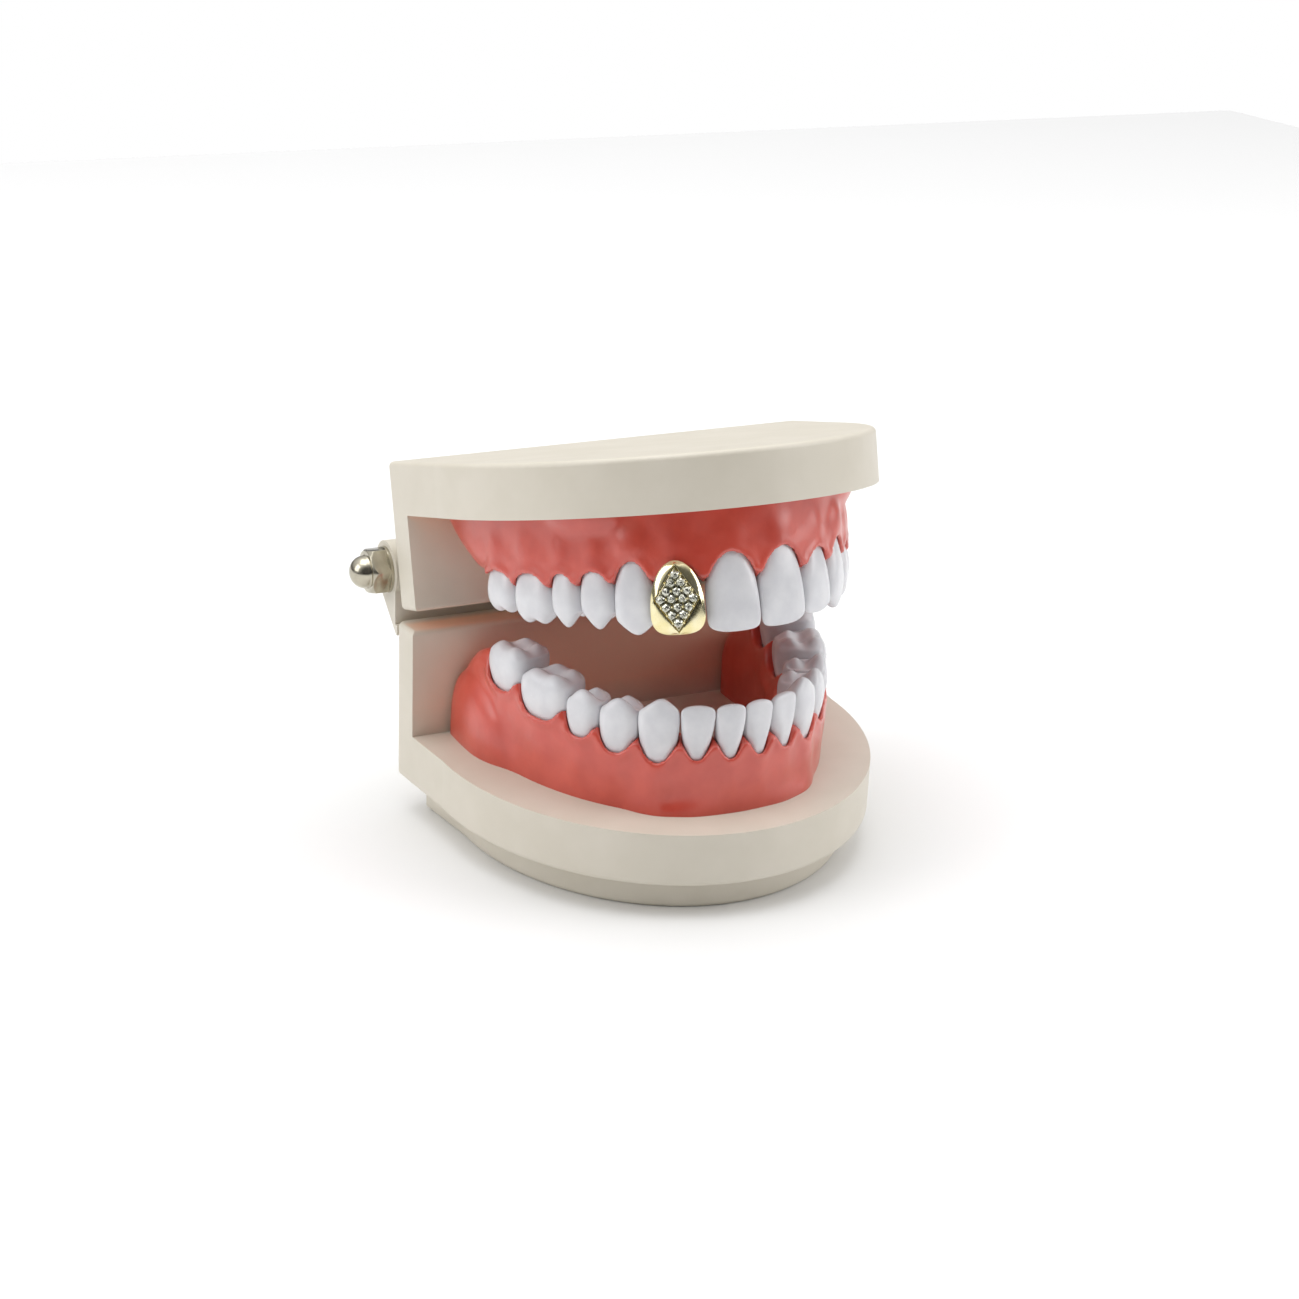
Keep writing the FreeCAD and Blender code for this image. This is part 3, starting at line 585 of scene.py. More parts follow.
def scallop_plug(x, margin, rise, half_x, arching, y0, y1, tall):
    """A plug across the ridge: a rounded V from the margin up, then straight sides."""
    edge = []
    for k in range(-EDGE_STEPS, EDGE_STEPS + 1):
        share = abs(k) / EDGE_STEPS
        across = half_x * math.copysign(share ** EDGE_CROWDING, k)
        edge.append((across, rise * share ** (EDGE_CROWDING * arching)))
    edge += [(half_x, rise + tall), (-half_x, rise + tall)]
    plug = flat_face([(x + across, y0, margin + up) for across, up in edge], "plug")
    edit(plug)
    all_vertices()
    extrude(0, y1 - y0, 0)
    leave()
    return outward(plug)


def ridge_stations(teeth, papillae, rear, widen):
    """(run, ridge height, crest) from the midline to the rear end."""
    stations = [(0.0, papillae[0], MIDLINE_CREST)]
    run = 0.0
    for (_, kind, width, _, _), height in zip(teeth, papillae[1:]):
        run += width
        stations.append((run, height, CREST[tooth_type(kind)]))
    for y, height in rear:
        stations.append((rear_run(widen, y), height, CREST["molar"]))
    return stations


def ridge_profile(height, crest, skirt):
    """(y, z) round the ridge's section, from the foot of its leaning outer wall to the inner one."""
    return [
        (skirt, -SUNK),
        (skirt, height * 0.12),
        (skirt * 0.85, height * 0.36),
        (skirt * 0.3 + WALL_OUTER * 0.7, height * 0.6),
        (WALL_OUTER - 0.35, height - SHOULDER),
        (0.1, height),
        (-crest + 1.2, height),
        (-crest, height - SHOULDER),
        (-BLANK_INNER, height * 0.6),
        (-BLANK_INNER, -SUNK),
    ]


def ridge_blank(name, stations, skirt):
    """The straight ridge, extruded station by station."""
    signed = [(-run, height, crest) for run, height, crest in reversed(stations[1:])] + stations
    last, height, crest = signed[0]
    blank = flat_face([(last, y, z) for y, z in ridge_profile(height, crest, skirt)], name)
    for run, height, crest in signed[1:]:
        edit(blank)
        mesh = bmesh.from_edit_mesh(blank.data)
        last = max(vertex.co.x for vertex in mesh.verts)
        pick(lambda co: co.x > last - SAME_PLACE)
        extrude(run - last, 0, 0)
        leave()
        ring = [vertex for vertex in blank.data.vertices if abs(vertex.co.x - run) < SAME_PLACE]
        for vertex, (y, z) in zip(ring, ridge_profile(height, crest, skirt)):
            vertex.co = (run, y, z)
    return outward(blank)


def scalloped_ridge(name, teeth, papillae, rear, widen, skirt, plate_height):
    """The gum ridge of one jaw, drawn straight: root swellings, margins, points between teeth."""
    parts = [ridge_blank(name, ridge_stations(teeth, papillae, rear, widen), skirt)]
    windows = []
    run = 0.0
    for k, (_, kind, width, neck, _) in enumerate(teeth):
        run += width / 2
        margin = abs(neck - plate_height)
        rise = (papillae[k] + papillae[k + 1]) / 2 - margin
        arching = UPPER_INCISOR_ARCHING if kind == "upper_incisor" else ARCHING[tooth_type(kind)]
        swell_share, swell_depth, inside_wall = CANINE_SWELL if "canine" in kind else ROOT_SWELL
        for x in (-run, run):
            root = (width * swell_share, swell_depth, margin * SWELL_HEIGHT)
            parts.append(oval((x, WALL_OUTER - inside_wall, margin * SWELL_MIDDLE), root))
            parts.append(scallop_plug(
                x, margin - COLLAR_DROP, rise, width / 2, arching, 0.0, WALL_OUTER + COLLAR_PROUD, 0.0
            ))
            windows.append(scallop_plug(
                x, margin, rise, width * WINDOW_SHARE, arching, WINDOW_INNER, WINDOW_OUTER, WINDOW_TALL
            ))
        run += width / 2
    ridge = join(parts, name)
    apply_modifier(ridge, "REMESH", mode="VOXEL", voxel_size=VOXEL)
    combine(ridge, join(windows, "windows"), "DIFFERENCE")
    return ridge


def outline_block(name, outline, z0, height, leans=()):
    """A block on a plan outline, then raised further by (lean-in, rise) steps."""
    block = flat_face([(x, y, z0) for x, y in outline], name)
    edit(block)
    all_vertices()
    extrude(0, 0, height)
    for lean, rise in leans:
        bpy.ops.mesh.inset(thickness=lean, depth=rise)
    leave()
    return outward(block)


def arch_outline(widen, offset, end_y, count=14):
    """Closed D outline following the arch at an offset, cut off straight at end_y."""
    end = rear_run(widen, end_y)
    points = []
    for k in range(-count, count + 1):
        point, normal = arch_frame(abs(k) / count * end, -1 if k < 0 else 1, widen)
        place = point + normal * offset
        points.append((place.x, place.y))
    return points


def crown_pockets(gum, crowns):
    """Seat the crowns: take each one, grown by the clearance, out of the gum."""
    for start in (0, 1):
        cutters = []
        for crown_piece in crowns[start::2]:
            cutter = twin(crown_piece, "pocket")
            apply_modifier(cutter, "DISPLACE", strength=POCKET_CLEARANCE, mid_level=0.0)
            cutters.append(cutter)
        combine(gum, join(cutters, "pockets"), "DIFFERENCE")


def calm_foot(gum, foot_z, up, reach, iterations):
    """Smooth the skin by the plate, fully for a third of the reach and then less and less."""
    group = gum.vertex_groups.new(name="foot")
    for vertex in gum.data.vertices:
        weight = 1.5 - 1.5 * (vertex.co.z - foot_z) * up / reach
        group.add([vertex.index], min(1.0, max(0.0, weight)), "REPLACE")
    apply_modifier(gum, "SMOOTH", factor=0.5, iterations=iterations, vertex_group="foot")
    gum.vertex_groups.clear()


def finish_gum(gum, plate_z, down):
    """Soften the whole skin, then trim it flat where it meets its plate and the rear wall."""
    apply_modifier(gum, "REMESH", mode="VOXEL", voxel_size=VOXEL)
    apply_modifier(gum, "SMOOTH", factor=0.5, iterations=3)
    for place, normal in (((0, 0, plate_z), (0, 0, down)), ((0, gum_rear_y, 0), (0, 1, 0))):
        edit(gum)
        all_vertices()
        bpy.ops.mesh.bisect(plane_co=place, plane_no=normal, use_fill=True, clear_outer=True)
        leave()
    return smooth_shaded(gum, SKIN_CREASE)


def in_order(row):
    """Crowns round the arch from one end to the other, so that neighbours alternate."""
    def middle_x(piece):
        return sum(v.co.x for v in piece.data.vertices) / len(piece.data.vertices)

    return sorted(row.values(), key=middle_x)


# Half of the lower gum's angular base block, from the rear to just off the midline.
BASE_HALF = [
    (31.2, 24.0), (31.0, 12.0), (25.4, 0.0), (20.0, -9.3), (15.6, -17.2), (12.8, -19.7), (7.8, -21.8)
]
BASE_AHEAD = 1.4
BASE_HEIGHT = 2.4
BASE_LEANS = ((0.5, 1.8), (1.2, 1.9), (1.9, 1.6))
HOLLOW_END = 30.0
HOLLOW_TALL = 30


def make_lower_gum(crowns):
    """The ridge on an angular base block, open on the tongue side, with full round rear ends."""
    ridge = scalloped_ridge(
        "lower_gum_body", LOWER_TEETH, LOWER_PAPILLAE, LOWER_REAR, 0.0, LOWER_SKIRT, 0.0
    )
    onto_arch(ridge, 0.0, plate_top, 1)
    front = (0.0, ARCH_CENTRE_Y - ARCH_LENGTH - BASE_AHEAD)
    outline = BASE_HALF + [front] + [(-x, y) for x, y in reversed(BASE_HALF)]
    base = outline_block("base", outline, plate_top - SUNK, SUNK + BASE_HEIGHT, BASE_LEANS)
    inner = arch_outline(0.0, -BLANK_INNER, HOLLOW_END)
    combine(base, outline_block("hollow", inner, plate_top - SUNK - 1, HOLLOW_TALL), "DIFFERENCE")
    ends = [
        oval(place=(side * 28.2, 17.0, plate_top + 3.5), radii=(3.3, 11.0, 8.8), segments=24)
        for side in (-1, 1)
    ]
    gum = join([ridge, base, *ends], "lower_gum_body")
    apply_modifier(gum, "REMESH", mode="VOXEL", voxel_size=VOXEL)
    apply_modifier(gum, "SMOOTH", factor=0.5, iterations=6)
    calm_foot(gum, plate_top, 1, reach=8.5, iterations=150)
    crown_pockets(gum, crowns)
    return finish_gum(gum, plate_top, -1)


PALATE_THICKNESS = 4.6
PALATE_INSET = 2.0
FOLD_ROWS = (-12.5, -9.8, -7.0, -4.0)
FOLD_DEPTH = 4.5
PALATE_SCREWS = ((0, -5), (-15, 11), (15, 11))
WELL_RADIUS = 2.6
SPREAD_TURN = math.radians(56)


def palate_folds():
    """Slanting folds behind the front teeth, the seam down the middle and the pad at its front."""
    level = upper_plate_bottom - FOLD_DEPTH
    folds = []
    for k, y in enumerate(FOLD_ROWS):
        for side in (-1, 1):
            place = (side * (4.4 + 0.5 * k), y, level)
            folds.append(oval(place, (4.2 + 0.7 * k, 0.55, 0.75), turn=side * math.radians(18 + 4 * k)))
    folds.append(oval((0, 0.0, level), (0.6, 15.5, 0.5)))
    folds.append(oval((0, -15.6, level - 0.4), (1.3, 2.0, 1.2)))
    return folds


def make_upper_gum(crowns):
    """The ridge round a palate with its folds and the wells of its three screws."""
    plate_height = upper_plate_bottom - plate_top
    ridge = scalloped_ridge(
        "upper_gum_body", UPPER_TEETH, UPPER_PAPILLAE, UPPER_REAR, OVERJET, UPPER_SKIRT, plate_height
    )
    onto_arch(ridge, OVERJET, upper_plate_bottom, -1)
    inner = arch_outline(OVERJET, -BLANK_INNER + PALATE_INSET, gum_rear_y + 1.0)
    slab = outline_block("palate", inner, upper_plate_bottom - PALATE_THICKNESS, PALATE_THICKNESS + SUNK)
    # The skin spreads a little where it covers the front corners of the plate's hollow.
    spreads = [
        oval((side * 22.1, -11.1, upper_plate_bottom), (6.5, 2.6, 3.0), segments=24, turn=side * SPREAD_TURN)
        for side in (-1, 1)
    ]
    gum = join([ridge, slab] + spreads + palate_folds(), "upper_gum_body")
    apply_modifier(gum, "REMESH", mode="VOXEL", voxel_size=VOXEL)
    wells = []
    for x, y in PALATE_SCREWS:
        place = (x, y, upper_plate_bottom)
        bpy.ops.mesh.primitive_cylinder_add(vertices=32, radius=WELL_RADIUS, depth=20, location=place)
        wells.append(bpy.context.object)
    combine(gum, join(wells, "screw_wells"), "DIFFERENCE")
    apply_modifier(gum, "SMOOTH", factor=0.5, iterations=6)
    calm_foot(gum, upper_plate_bottom, -1, reach=7.0, iterations=30)
    crown_pockets(gum, crowns)
    return finish_gum(gum, upper_plate_bottom, 1)


# -------------------- clip-on cap
# Drawn like its tooth: x along the arch, y outward, z from the neck to the biting edge.
CAP_TOOTH = UPPER_TEETH[1]
CAP_SHIFT = 0.35
CAP_RUN = UPPER_TEETH[0][2] + CAP_TOOTH[2] / 2 + CAP_SHIFT
CAP_WIDTH = 8.2
CAP_HEIGHT = 11.2
CAP_BACK = 1.85
CAP_EDGE = 2.45
CAP_FRONT = 3.0
CAP_WALL = 0.55
CAP_HOLLOW = 0.55
CAP_POINTS = 40
CAP_WIDEST = 0.68
CAP_ROUNDING = 2 / 3
RIM_EASE = 0.16
EDGE_SHARE = (0.955, 1, 0.965)
FACET_BULGE = 0.1
# Steps of (inset, rise) from the rhombus to its bed: groove, border, bed.
BED_STEPS = ((0.05, 0.0), (0.05, -0.32), (0.13, 0.0), (0.03, 0.54), (0.10, 0.03), (0.03, -0.26))
LIP_SIZE = (3.8, 2.3, 0.5)
SLIVER = 0.006
STONE_ROWS = 4
STONE_WIDTH = 1.42
STONE_PITCH = 1.45
STONE_GIRDLE = 0.06
FACET_POINT = 0.035
# Steps of (inset as a share of the width, rise) up the crown of a stone, and its point below.
CROWN_STEPS = ((0.12, 0.19), (0.12, 0.13), (0.10, 0.04))
PAVILION = (0.42, 0.45)
STONE_SEAT = 0.16
STONE_LEAN = 0.12
STONE_TURN = 0.39
BEAD_RADIUS = 0.17
BEAD_SEAT = 0.24
BEAD_SHAPE = Matrix.Diagonal((1, 1.5, 1, 1))
# No bead this near the rhombus's side and end corners.
BEAD_FREE_X = 0.6
BEAD_FREE_Z = 0.9
DIAMOND_WIDTH = 7.0
DIAMOND_HEIGHT = 10.5
cap_bottom = CAP_TOOTH[3] - CAP_TOOTH[4] + 0.3
cap_middle = cap_bottom - CAP_HEIGHT * 0.49


def cap_outline():
    """Egg outline of the cap, (x, z) from its left side over the gum end and back."""
    half = CAP_WIDTH / 2
    widest = cap_bottom - CAP_HEIGHT * (1 - CAP_WIDEST)
    points = []
    for k in range(CAP_POINTS):
        angle = 2 * math.pi * k / CAP_POINTS
        across, down = -math.cos(angle), -math.sin(angle)
        if down < 0:
            points.append((half * across, widest + down * (CAP_HEIGHT * CAP_WIDEST)))
            continue
        across = math.copysign(abs(across) ** CAP_ROUNDING, across)
        points.append((half * across, widest + down ** CAP_ROUNDING * (CAP_HEIGHT * (1 - CAP_WIDEST))))
    return points


def diamond_points():
    """Evenly spaced points round the rhombus, starting at its left corner."""
    half_x, half_z = DIAMOND_WIDTH / 2, DIAMOND_HEIGHT / 2
    corners = [(-half_x, 0), (0, -half_z), (half_x, 0), (0, half_z)]
    points = []
    for k in range(CAP_POINTS):
        side, share = divmod(4 * k / CAP_POINTS, 1)
        x0, z0 = corners[int(side)]
        x1, z1 = corners[(int(side) + 1) % 4]
        points.append((x0 + (x1 - x0) * share, cap_middle + z0 + (z1 - z0) * share))
    return points


def outside_diamond(co):
    return abs(co.x) / DIAMOND_WIDTH + abs(co.z - cap_middle) / DIAMOND_HEIGHT > 0.502


def close_up(piece):
    """Merge the hair-thin slivers that cutting and easing leave behind."""
    edit(piece)
    all_vertices()
    bpy.ops.mesh.remove_doubles(threshold=SLIVER)
    bpy.ops.mesh.dissolve_degenerate(threshold=SLIVER)
    leave()


def eased(obj, width, segments, angle):
    """Bevel the edges sharper than an angle."""
    apply_modifier(
        obj, "BEVEL", width=width, segments=segments, limit_method="ANGLE", angle_limit=math.radians(angle)
    )


def make_cap():
    """Gold shell: egg rim, four facets up to a grooved and bordered rhombus bed, and a lip at the tip."""
    rim = flat_face([(x, CAP_BACK, z) for x, z in cap_outline()], "gold_cap_shell", "NOTHING")
    edit(rim)
    all_vertices()
    extrude(0, CAP_EDGE - CAP_BACK - RIM_EASE, 0)
    extrude(0, RIM_EASE, 0)
    stretch(*EDGE_SHARE, (0, 0, cap_middle))
    leave()
    diamond = flat_face([(x, CAP_FRONT, z) for x, z in diamond_points()], "rhombus", "NOTHING")
    shell = join([rim, diamond], "gold_cap_shell")
    edit(shell)
    pick(lambda co: co.y > CAP_EDGE - SAME_PLACE)
    bpy.ops.mesh.bridge_edge_loops(number_cuts=3, interpolation="LINEAR")
    pick(lambda co: co.y > CAP_FRONT - SAME_PLACE)
    bpy.ops.mesh.edge_face_add()
    for thickness, depth in BED_STEPS:
        bpy.ops.mesh.inset(thickness=thickness, depth=depth)
    pick(lambda co: CAP_EDGE + SAME_PLACE < co.y < CAP_FRONT - FACET_BULGE and outside_diamond(co))
    slide(0, FACET_BULGE, 0)
    pick(lambda co: co.y < CAP_BACK + SAME_PLACE)
    bpy.ops.mesh.edge_face_add()
    bpy.ops.mesh.inset(thickness=CAP_WALL, depth=0)
    extrude(0, CAP_HOLLOW, 0)
    leave()
    bpy.ops.mesh.primitive_cube_add(size=1.0)
    lip = bpy.context.object
    lip_place = Matrix.Translation((0, CAP_BACK - 0.85, cap_bottom - 0.55))
    move_mesh(lip, lip_place @ Matrix.Diagonal((*LIP_SIZE, 1)))
    apply_modifier(lip, "BEVEL", width=0.15, segments=3)
    shell = outward(join([outward(shell), lip], "gold_cap_shell"))
    eased(shell, width=0.045, segments=2, angle=35)
    close_up(shell)
    return smooth_shaded(shell, angle=28)


def stone_places(count):
    """Spots on the rhombus, count by count: the set stones, or the beads between them."""
    slant = math.hypot(DIAMOND_WIDTH, DIAMOND_HEIGHT)
    step_x = STONE_PITCH * DIAMOND_WIDTH / slant
    step_z = STONE_PITCH * DIAMOND_HEIGHT / slant
    spots = []
    for row in range(count):
        for column in range(count):
            spots.append(((column - row) * step_x, cap_middle + (row + column - (count - 1)) * step_z))
    return spots


def make_stones():
    """Round brilliants: turned rows of crown facets, each split in four, round a low table."""
    bpy.ops.mesh.primitive_circle_add(vertices=8, radius=STONE_WIDTH / 2, fill_type="NGON")
    model = bpy.context.object
    edit(model)
    all_vertices()
    extrude(0, 0, STONE_GIRDLE)
    for share, depth in CROWN_STEPS:
        bpy.ops.mesh.inset(thickness=STONE_WIDTH * share, depth=depth)
        bpy.ops.transform.rotate(value=math.pi / 8, orient_axis="Z", center_override=(0, 0, 0))
    pick_faces(lambda middle, normal: normal.z < -0.9)
    bpy.ops.mesh.inset(thickness=STONE_WIDTH * PAVILION[0], depth=PAVILION[1])
    all_vertices()
    bpy.ops.mesh.poke(offset=FACET_POINT)
    leave()
    outward(model)
    move_mesh(model, Matrix.Rotation(-math.pi / 2, 4, "X"))
    stones = []
    for k, (x, z) in enumerate(stone_places(STONE_ROWS)):
        copy = twin(model, "stone")
        nod = Matrix.Rotation(STONE_LEAN * math.sin(2.3 * k), 4, "X")
        lean = nod @ Matrix.Rotation(STONE_LEAN * math.cos(1.7 * k), 4, "Z")
        spun = lean @ Matrix.Rotation(STONE_TURN * k, 4, "Y")
        move_mesh(copy, Matrix.Translation((x, CAP_FRONT + STONE_SEAT, z)) @ spun)
        stones.append(copy)
    discard(model)
    return join(stones, "cap_brilliants")


def make_beads():
    """Grain-set claws: a small gold bead at each corner between the stones."""
    bpy.ops.mesh.primitive_ico_sphere_add(subdivisions=2, radius=BEAD_RADIUS)
    model = bpy.context.object
    beads = []
    for x, z in stone_places(STONE_ROWS + 1):
        at_side = abs(x) > DIAMOND_WIDTH / 2 - BEAD_FREE_X
        at_end = abs(z - cap_middle) > DIAMOND_HEIGHT / 2 - BEAD_FREE_Z
        if at_side or at_end:
            continue
        copy = twin(model, "bead")
        move_mesh(copy, Matrix.Translation((x, CAP_FRONT + BEAD_SEAT, z)) @ BEAD_SHAPE)
        beads.append(copy)
    discard(model)
    return smooth_shaded(join(beads, "cap_beads"))


# -------------------- cap nuts
NUT_FLATS = 7.0
NUT_HEX = 3.0
NUT_LENGTH = 5.79
NUT_DOME = 2.85
NUT_NECK = 0.15
NUT_START = 38.5
NUT_TURN = math.radians(12)
# The chamfering cone is this much wider at its foot than the flats, and this much narrower on top.
CHAMFER_REACH = 2.3
CHAMFER_BITE = 0.05
DOME_STEPS = 9
DOME_SUNK = 0.4


def make_hexagon():
    """The nut's chamfered hexagon, standing on z = 0."""
    corner_radius = NUT_FLATS / 2 / math.cos(math.pi / 6)
    wide = NUT_FLATS / 2 + CHAMFER_REACH
    solids = []
    for sides, radius in ((6, corner_radius), (48, wide)):
        bpy.ops.mesh.primitive_cylinder_add(vertices=sides, radius=radius, depth=NUT_HEX)
        move_mesh(bpy.context.object, Matrix.Translation((0, 0, NUT_HEX / 2)))
        solids.append(bpy.context.object)
    hexagon, chamfer = solids
    edit(chamfer)
    pick(lambda co: co.z > NUT_HEX / 2)
    share = (NUT_FLATS / 2 - CHAMFER_BITE) / wide
    stretch(share, share, 1)
    leave()
    combine(hexagon, chamfer, "INTERSECT")
    close_up(hexagon)
    eased(hexagon, width=0.22, segments=3, angle=25)
    return hexagon


def make_dome():
    """The nut's round dome on a hollowed neck, drawn up ring by ring."""
    height = NUT_HEX - DOME_SUNK
    radius = NUT_DOME + 0.25
    bpy.ops.mesh.primitive_circle_add(vertices=40, radius=radius, fill_type="NGON")
    dome = bpy.context.object
    move_mesh(dome, Matrix.Translation((0, 0, height)))
    dome_radius = NUT_DOME - NUT_NECK
    dome_start = NUT_HEX + 0.35
    dome_rise = NUT_LENGTH - dome_start
    rings = [(NUT_DOME - 0.12, NUT_HEX + 0.1), (dome_radius, dome_start)]
    for k in range(1, DOME_STEPS):
        angle = math.pi / 2 * k / DOME_STEPS
        rings.append((dome_radius * math.cos(angle), dome_start + dome_rise * math.sin(angle)))
    edit(dome)
    all_vertices()
    for next_radius, next_height in rings:
        extrude(0, 0, next_height - height)
        stretch(next_radius / radius, next_radius / radius, 1)
        radius, height = next_radius, next_height
    bpy.ops.mesh.inset(thickness=radius * 0.9, depth=NUT_LENGTH - height)
    leave()
    return outward(dome)


def make_nut(name, side):
    nut = outward(join([make_hexagon(), make_dome()], name))
    move_mesh(nut, Matrix.Rotation(side * math.pi / 2, 4, "Y") @ Matrix.Rotation(NUT_TURN, 4, "Z"))
    move_mesh(nut, Matrix.Translation((side * NUT_START, hinge_y, hinge_z)))
    return smooth_shaded(nut, angle=32)


# -------------------- materials
def add(tree, kind, settings=None, links=None, **inputs):
    """Add a node, set its properties and inputs, and link other sockets in."""
    node = tree.nodes.new(kind)
    for key, value in (settings or {}).items():
        setattr(node, key, value)
    for key, value in inputs.items():
        node.inputs[key.replace("_", " ")].default_value = value
    for key, socket in (links or {}).items():
        tree.links.new(socket, node.inputs[key])
    return node


def finish_of(name, colour, roughness, **shader):
    """A material with its shader set: returns it, its node tree, its shader and the place on the piece."""
    material = bpy.data.materials.new(name)
    material.use_nodes = True
    tree = material.node_tree
    bsdf = tree.nodes["Principled BSDF"]
    bsdf.inputs["Base Color"].default_value = linear(colour)
    bsdf.inputs["Roughness"].default_value = roughness
    for key, value in shader.items():
        bsdf.inputs[key.replace("_", " ")].default_value = value
    place = add(tree, "ShaderNodeTexCoord").outputs["Object"]
    return material, tree, bsdf, place


def size_scale(millimetres):
    """Texture scale that gives features of this size on object coordinates."""
    return 1000.0 / millimetres


def mottled(tree, bsdf, place, low, high, patch_mm, detail=3.0, spread=(0.35, 0.65)):
    """Blend two close colours in soft patches of a given size; returns the blended colour."""
    patches = size_scale(patch_mm)
    noise = add(tree, "ShaderNodeTexNoise", links={"Vector": place}, Scale=patches, Detail=detail)
    ramp = add(tree, "ShaderNodeValToRGB", links={"Fac": noise.outputs["Fac"]})
    for stop, position, colour in zip(ramp.color_ramp.elements, spread, (low, high)):
        stop.position = position
        stop.color = linear(colour)
    tree.links.new(ramp.outputs["Color"], bsdf.inputs["Base Color"])
    return ramp.outputs["Color"]


def grained(tree, bsdf, place, grain_mm, depth_mm, strength, rough):
    """Fine bumps of a given size, and a gloss that varies a little with them."""
    noise = add(tree, "ShaderNodeTexNoise", links={"Vector": place}, Scale=size_scale(grain_mm), Detail=2.0)
    grain = noise.outputs["Fac"]
    bump = add(tree, "ShaderNodeBump", links={"Height": grain}, Strength=strength, Distance=depth_mm * MM)
    gloss = add(tree, "ShaderNodeMapRange", links={"Value": grain}, To_Min=rough[0], To_Max=rough[1])
    tree.links.new(bump.outputs["Normal"], bsdf.inputs["Normal"])
    tree.links.new(gloss.outputs["Result"], bsdf.inputs["Roughness"])


def ivory_abs_with_painted_bounce():
    """Injection moulded ABS, ivory: satin skin with faint mould grain, and painted coral bounce light that
    tints it warmer in enclosed places.
    """
    material, tree, bsdf, place = finish_of("ivory_abs_with_painted_bounce", "#d9d2c3", 0.42, IOR=1.54)
    ivory_colour = mottled(tree, bsdf, place, "#d4cdbe", "#d9d2c4", patch_mm=9.0)
    grained(tree, bsdf, place, grain_mm=0.35, depth_mm=0.02, strength=0.18, rough=(0.36, 0.5))
    # Painted bounce light: where ambient occlusion finds enclosed places, above the plate and on the mouth's
    # side of the rear walls, the base colour is tinted coral as if the gums shone into it.
    hollow = add(tree, "ShaderNodeAmbientOcclusion", {"samples": 8}, Distance=45 * MM)
    level = add(tree, "ShaderNodeSeparateXYZ", links={"Vector": place})
    ranges = (
        (hollow.outputs["AO"], 0.62, 0.12),
        (level.outputs["Z"], plate_top * MM, (plate_top + 5) * MM),
        (level.outputs["Y"], (gum_rear_y + 5.8) * MM, (gum_rear_y + 4.3) * MM),
    )
    painted_bounce_mask, above_plate, before_wall = (
        add(tree, "ShaderNodeMapRange", links={"Value": value}, From_Min=none, From_Max=full).outputs[0]
        for value, none, full in ranges
    )
    inside = add(tree, "ShaderNodeMath", {"operation": "MULTIPLY"}, {0: above_plate, 1: before_wall})
    painted_bounce_amount = add(tree, "ShaderNodeMath", {"operation": "MULTIPLY"}, {0: painted_bounce_mask, 1: inside.outputs["Value"]})
    # Painted bounce light: the ivory is mixed toward this pale coral by the occlusion share.
    shares = {"Factor": painted_bounce_amount.outputs["Value"], 6: ivory_colour}
    painted_coral_bounce = add(tree, "ShaderNodeMix", {"data_type": "RGBA"}, shares)
    painted_coral_bounce.inputs[7].default_value = linear("#fcd0b4")
    tree.links.new(painted_coral_bounce.outputs[2], bsdf.inputs["Base Color"])
    return material


def cast_coral_resin():
    """Cast soft acrylic in coral: deep red body under a clear satin skin that catches the soft light."""
    material, tree, bsdf, place = finish_of(
        "cast_coral_resin", "#c24032", 0.36, IOR=1.5,
        Subsurface_Weight=0.12, Subsurface_Radius=(1.0, 0.25, 0.18), Subsurface_Scale=1.2 * MM,
        Coat_Weight=1.0, Coat_Roughness=0.36, Coat_IOR=1.6,
    )
    mottled(tree, bsdf, place, "#c63b25", "#d54c38", patch_mm=5.0, detail=4.0, spread=(0.3, 0.7))
    grained(tree, bsdf, place, grain_mm=1.6, depth_mm=0.12, strength=0.35, rough=(0.3, 0.46))
    return material


def pressed_white_resin():
    """Pressed composite tooth resin: cool white, polished, with soft slightly greyer patches."""
    material, tree, bsdf, place = finish_of(
        "pressed_white_resin", "#e4e3e6", 0.22, IOR=1.5,
        Subsurface_Weight=0.1, Subsurface_Radius=(1.0, 0.9, 0.85), Subsurface_Scale=0.8 * MM,
    )
    mottled(tree, bsdf, place, "#dbdbdf", "#e4e4e7", patch_mm=3.0)
    grained(tree, bsdf, place, grain_mm=0.9, depth_mm=0.03, strength=0.2, rough=(0.18, 0.3))
    return material


def polished_pale_gold():
    """Gold-plated brass, polished: pale cream-gold mirror with very fine polishing haze."""
    material, tree, bsdf, place = finish_of("polished_pale_gold", "#efe5b8", 0.14, Metallic=1.0)
    mottled(tree, bsdf, place, "#ebdfaa", "#f4ecc8", patch_mm=2.0)
    grained(tree, bsdf, place, grain_mm=0.25, depth_mm=0.004, strength=0.3, rough=(0.08, 0.2))
    return material


def foiled_cut_crystal():
    """Cut crystal with a silver foil back: hard bright and dark facets, slightly grey."""
    material, tree, bsdf, place = finish_of("foiled_cut_crystal", "#d8d9cd", 0.07, Metallic=1.0)
    mottled(tree, bsdf, place, "#8c8d80", "#e4e4d8", patch_mm=0.35)
    return material


def bright_nickel_plate():
    """Bright nickel on steel: warm grey mirror with slight plating waviness."""
    material, tree, bsdf, place = finish_of("bright_nickel_plate", "#b8b2a2", 0.18, Metallic=1.0)
    mottled(tree, bsdf, place, "#aca696", "#c2bcab", patch_mm=2.5)
    grained(tree, bsdf, place, grain_mm=0.8, depth_mm=0.01, strength=0.3, rough=(0.14, 0.26))
    return material


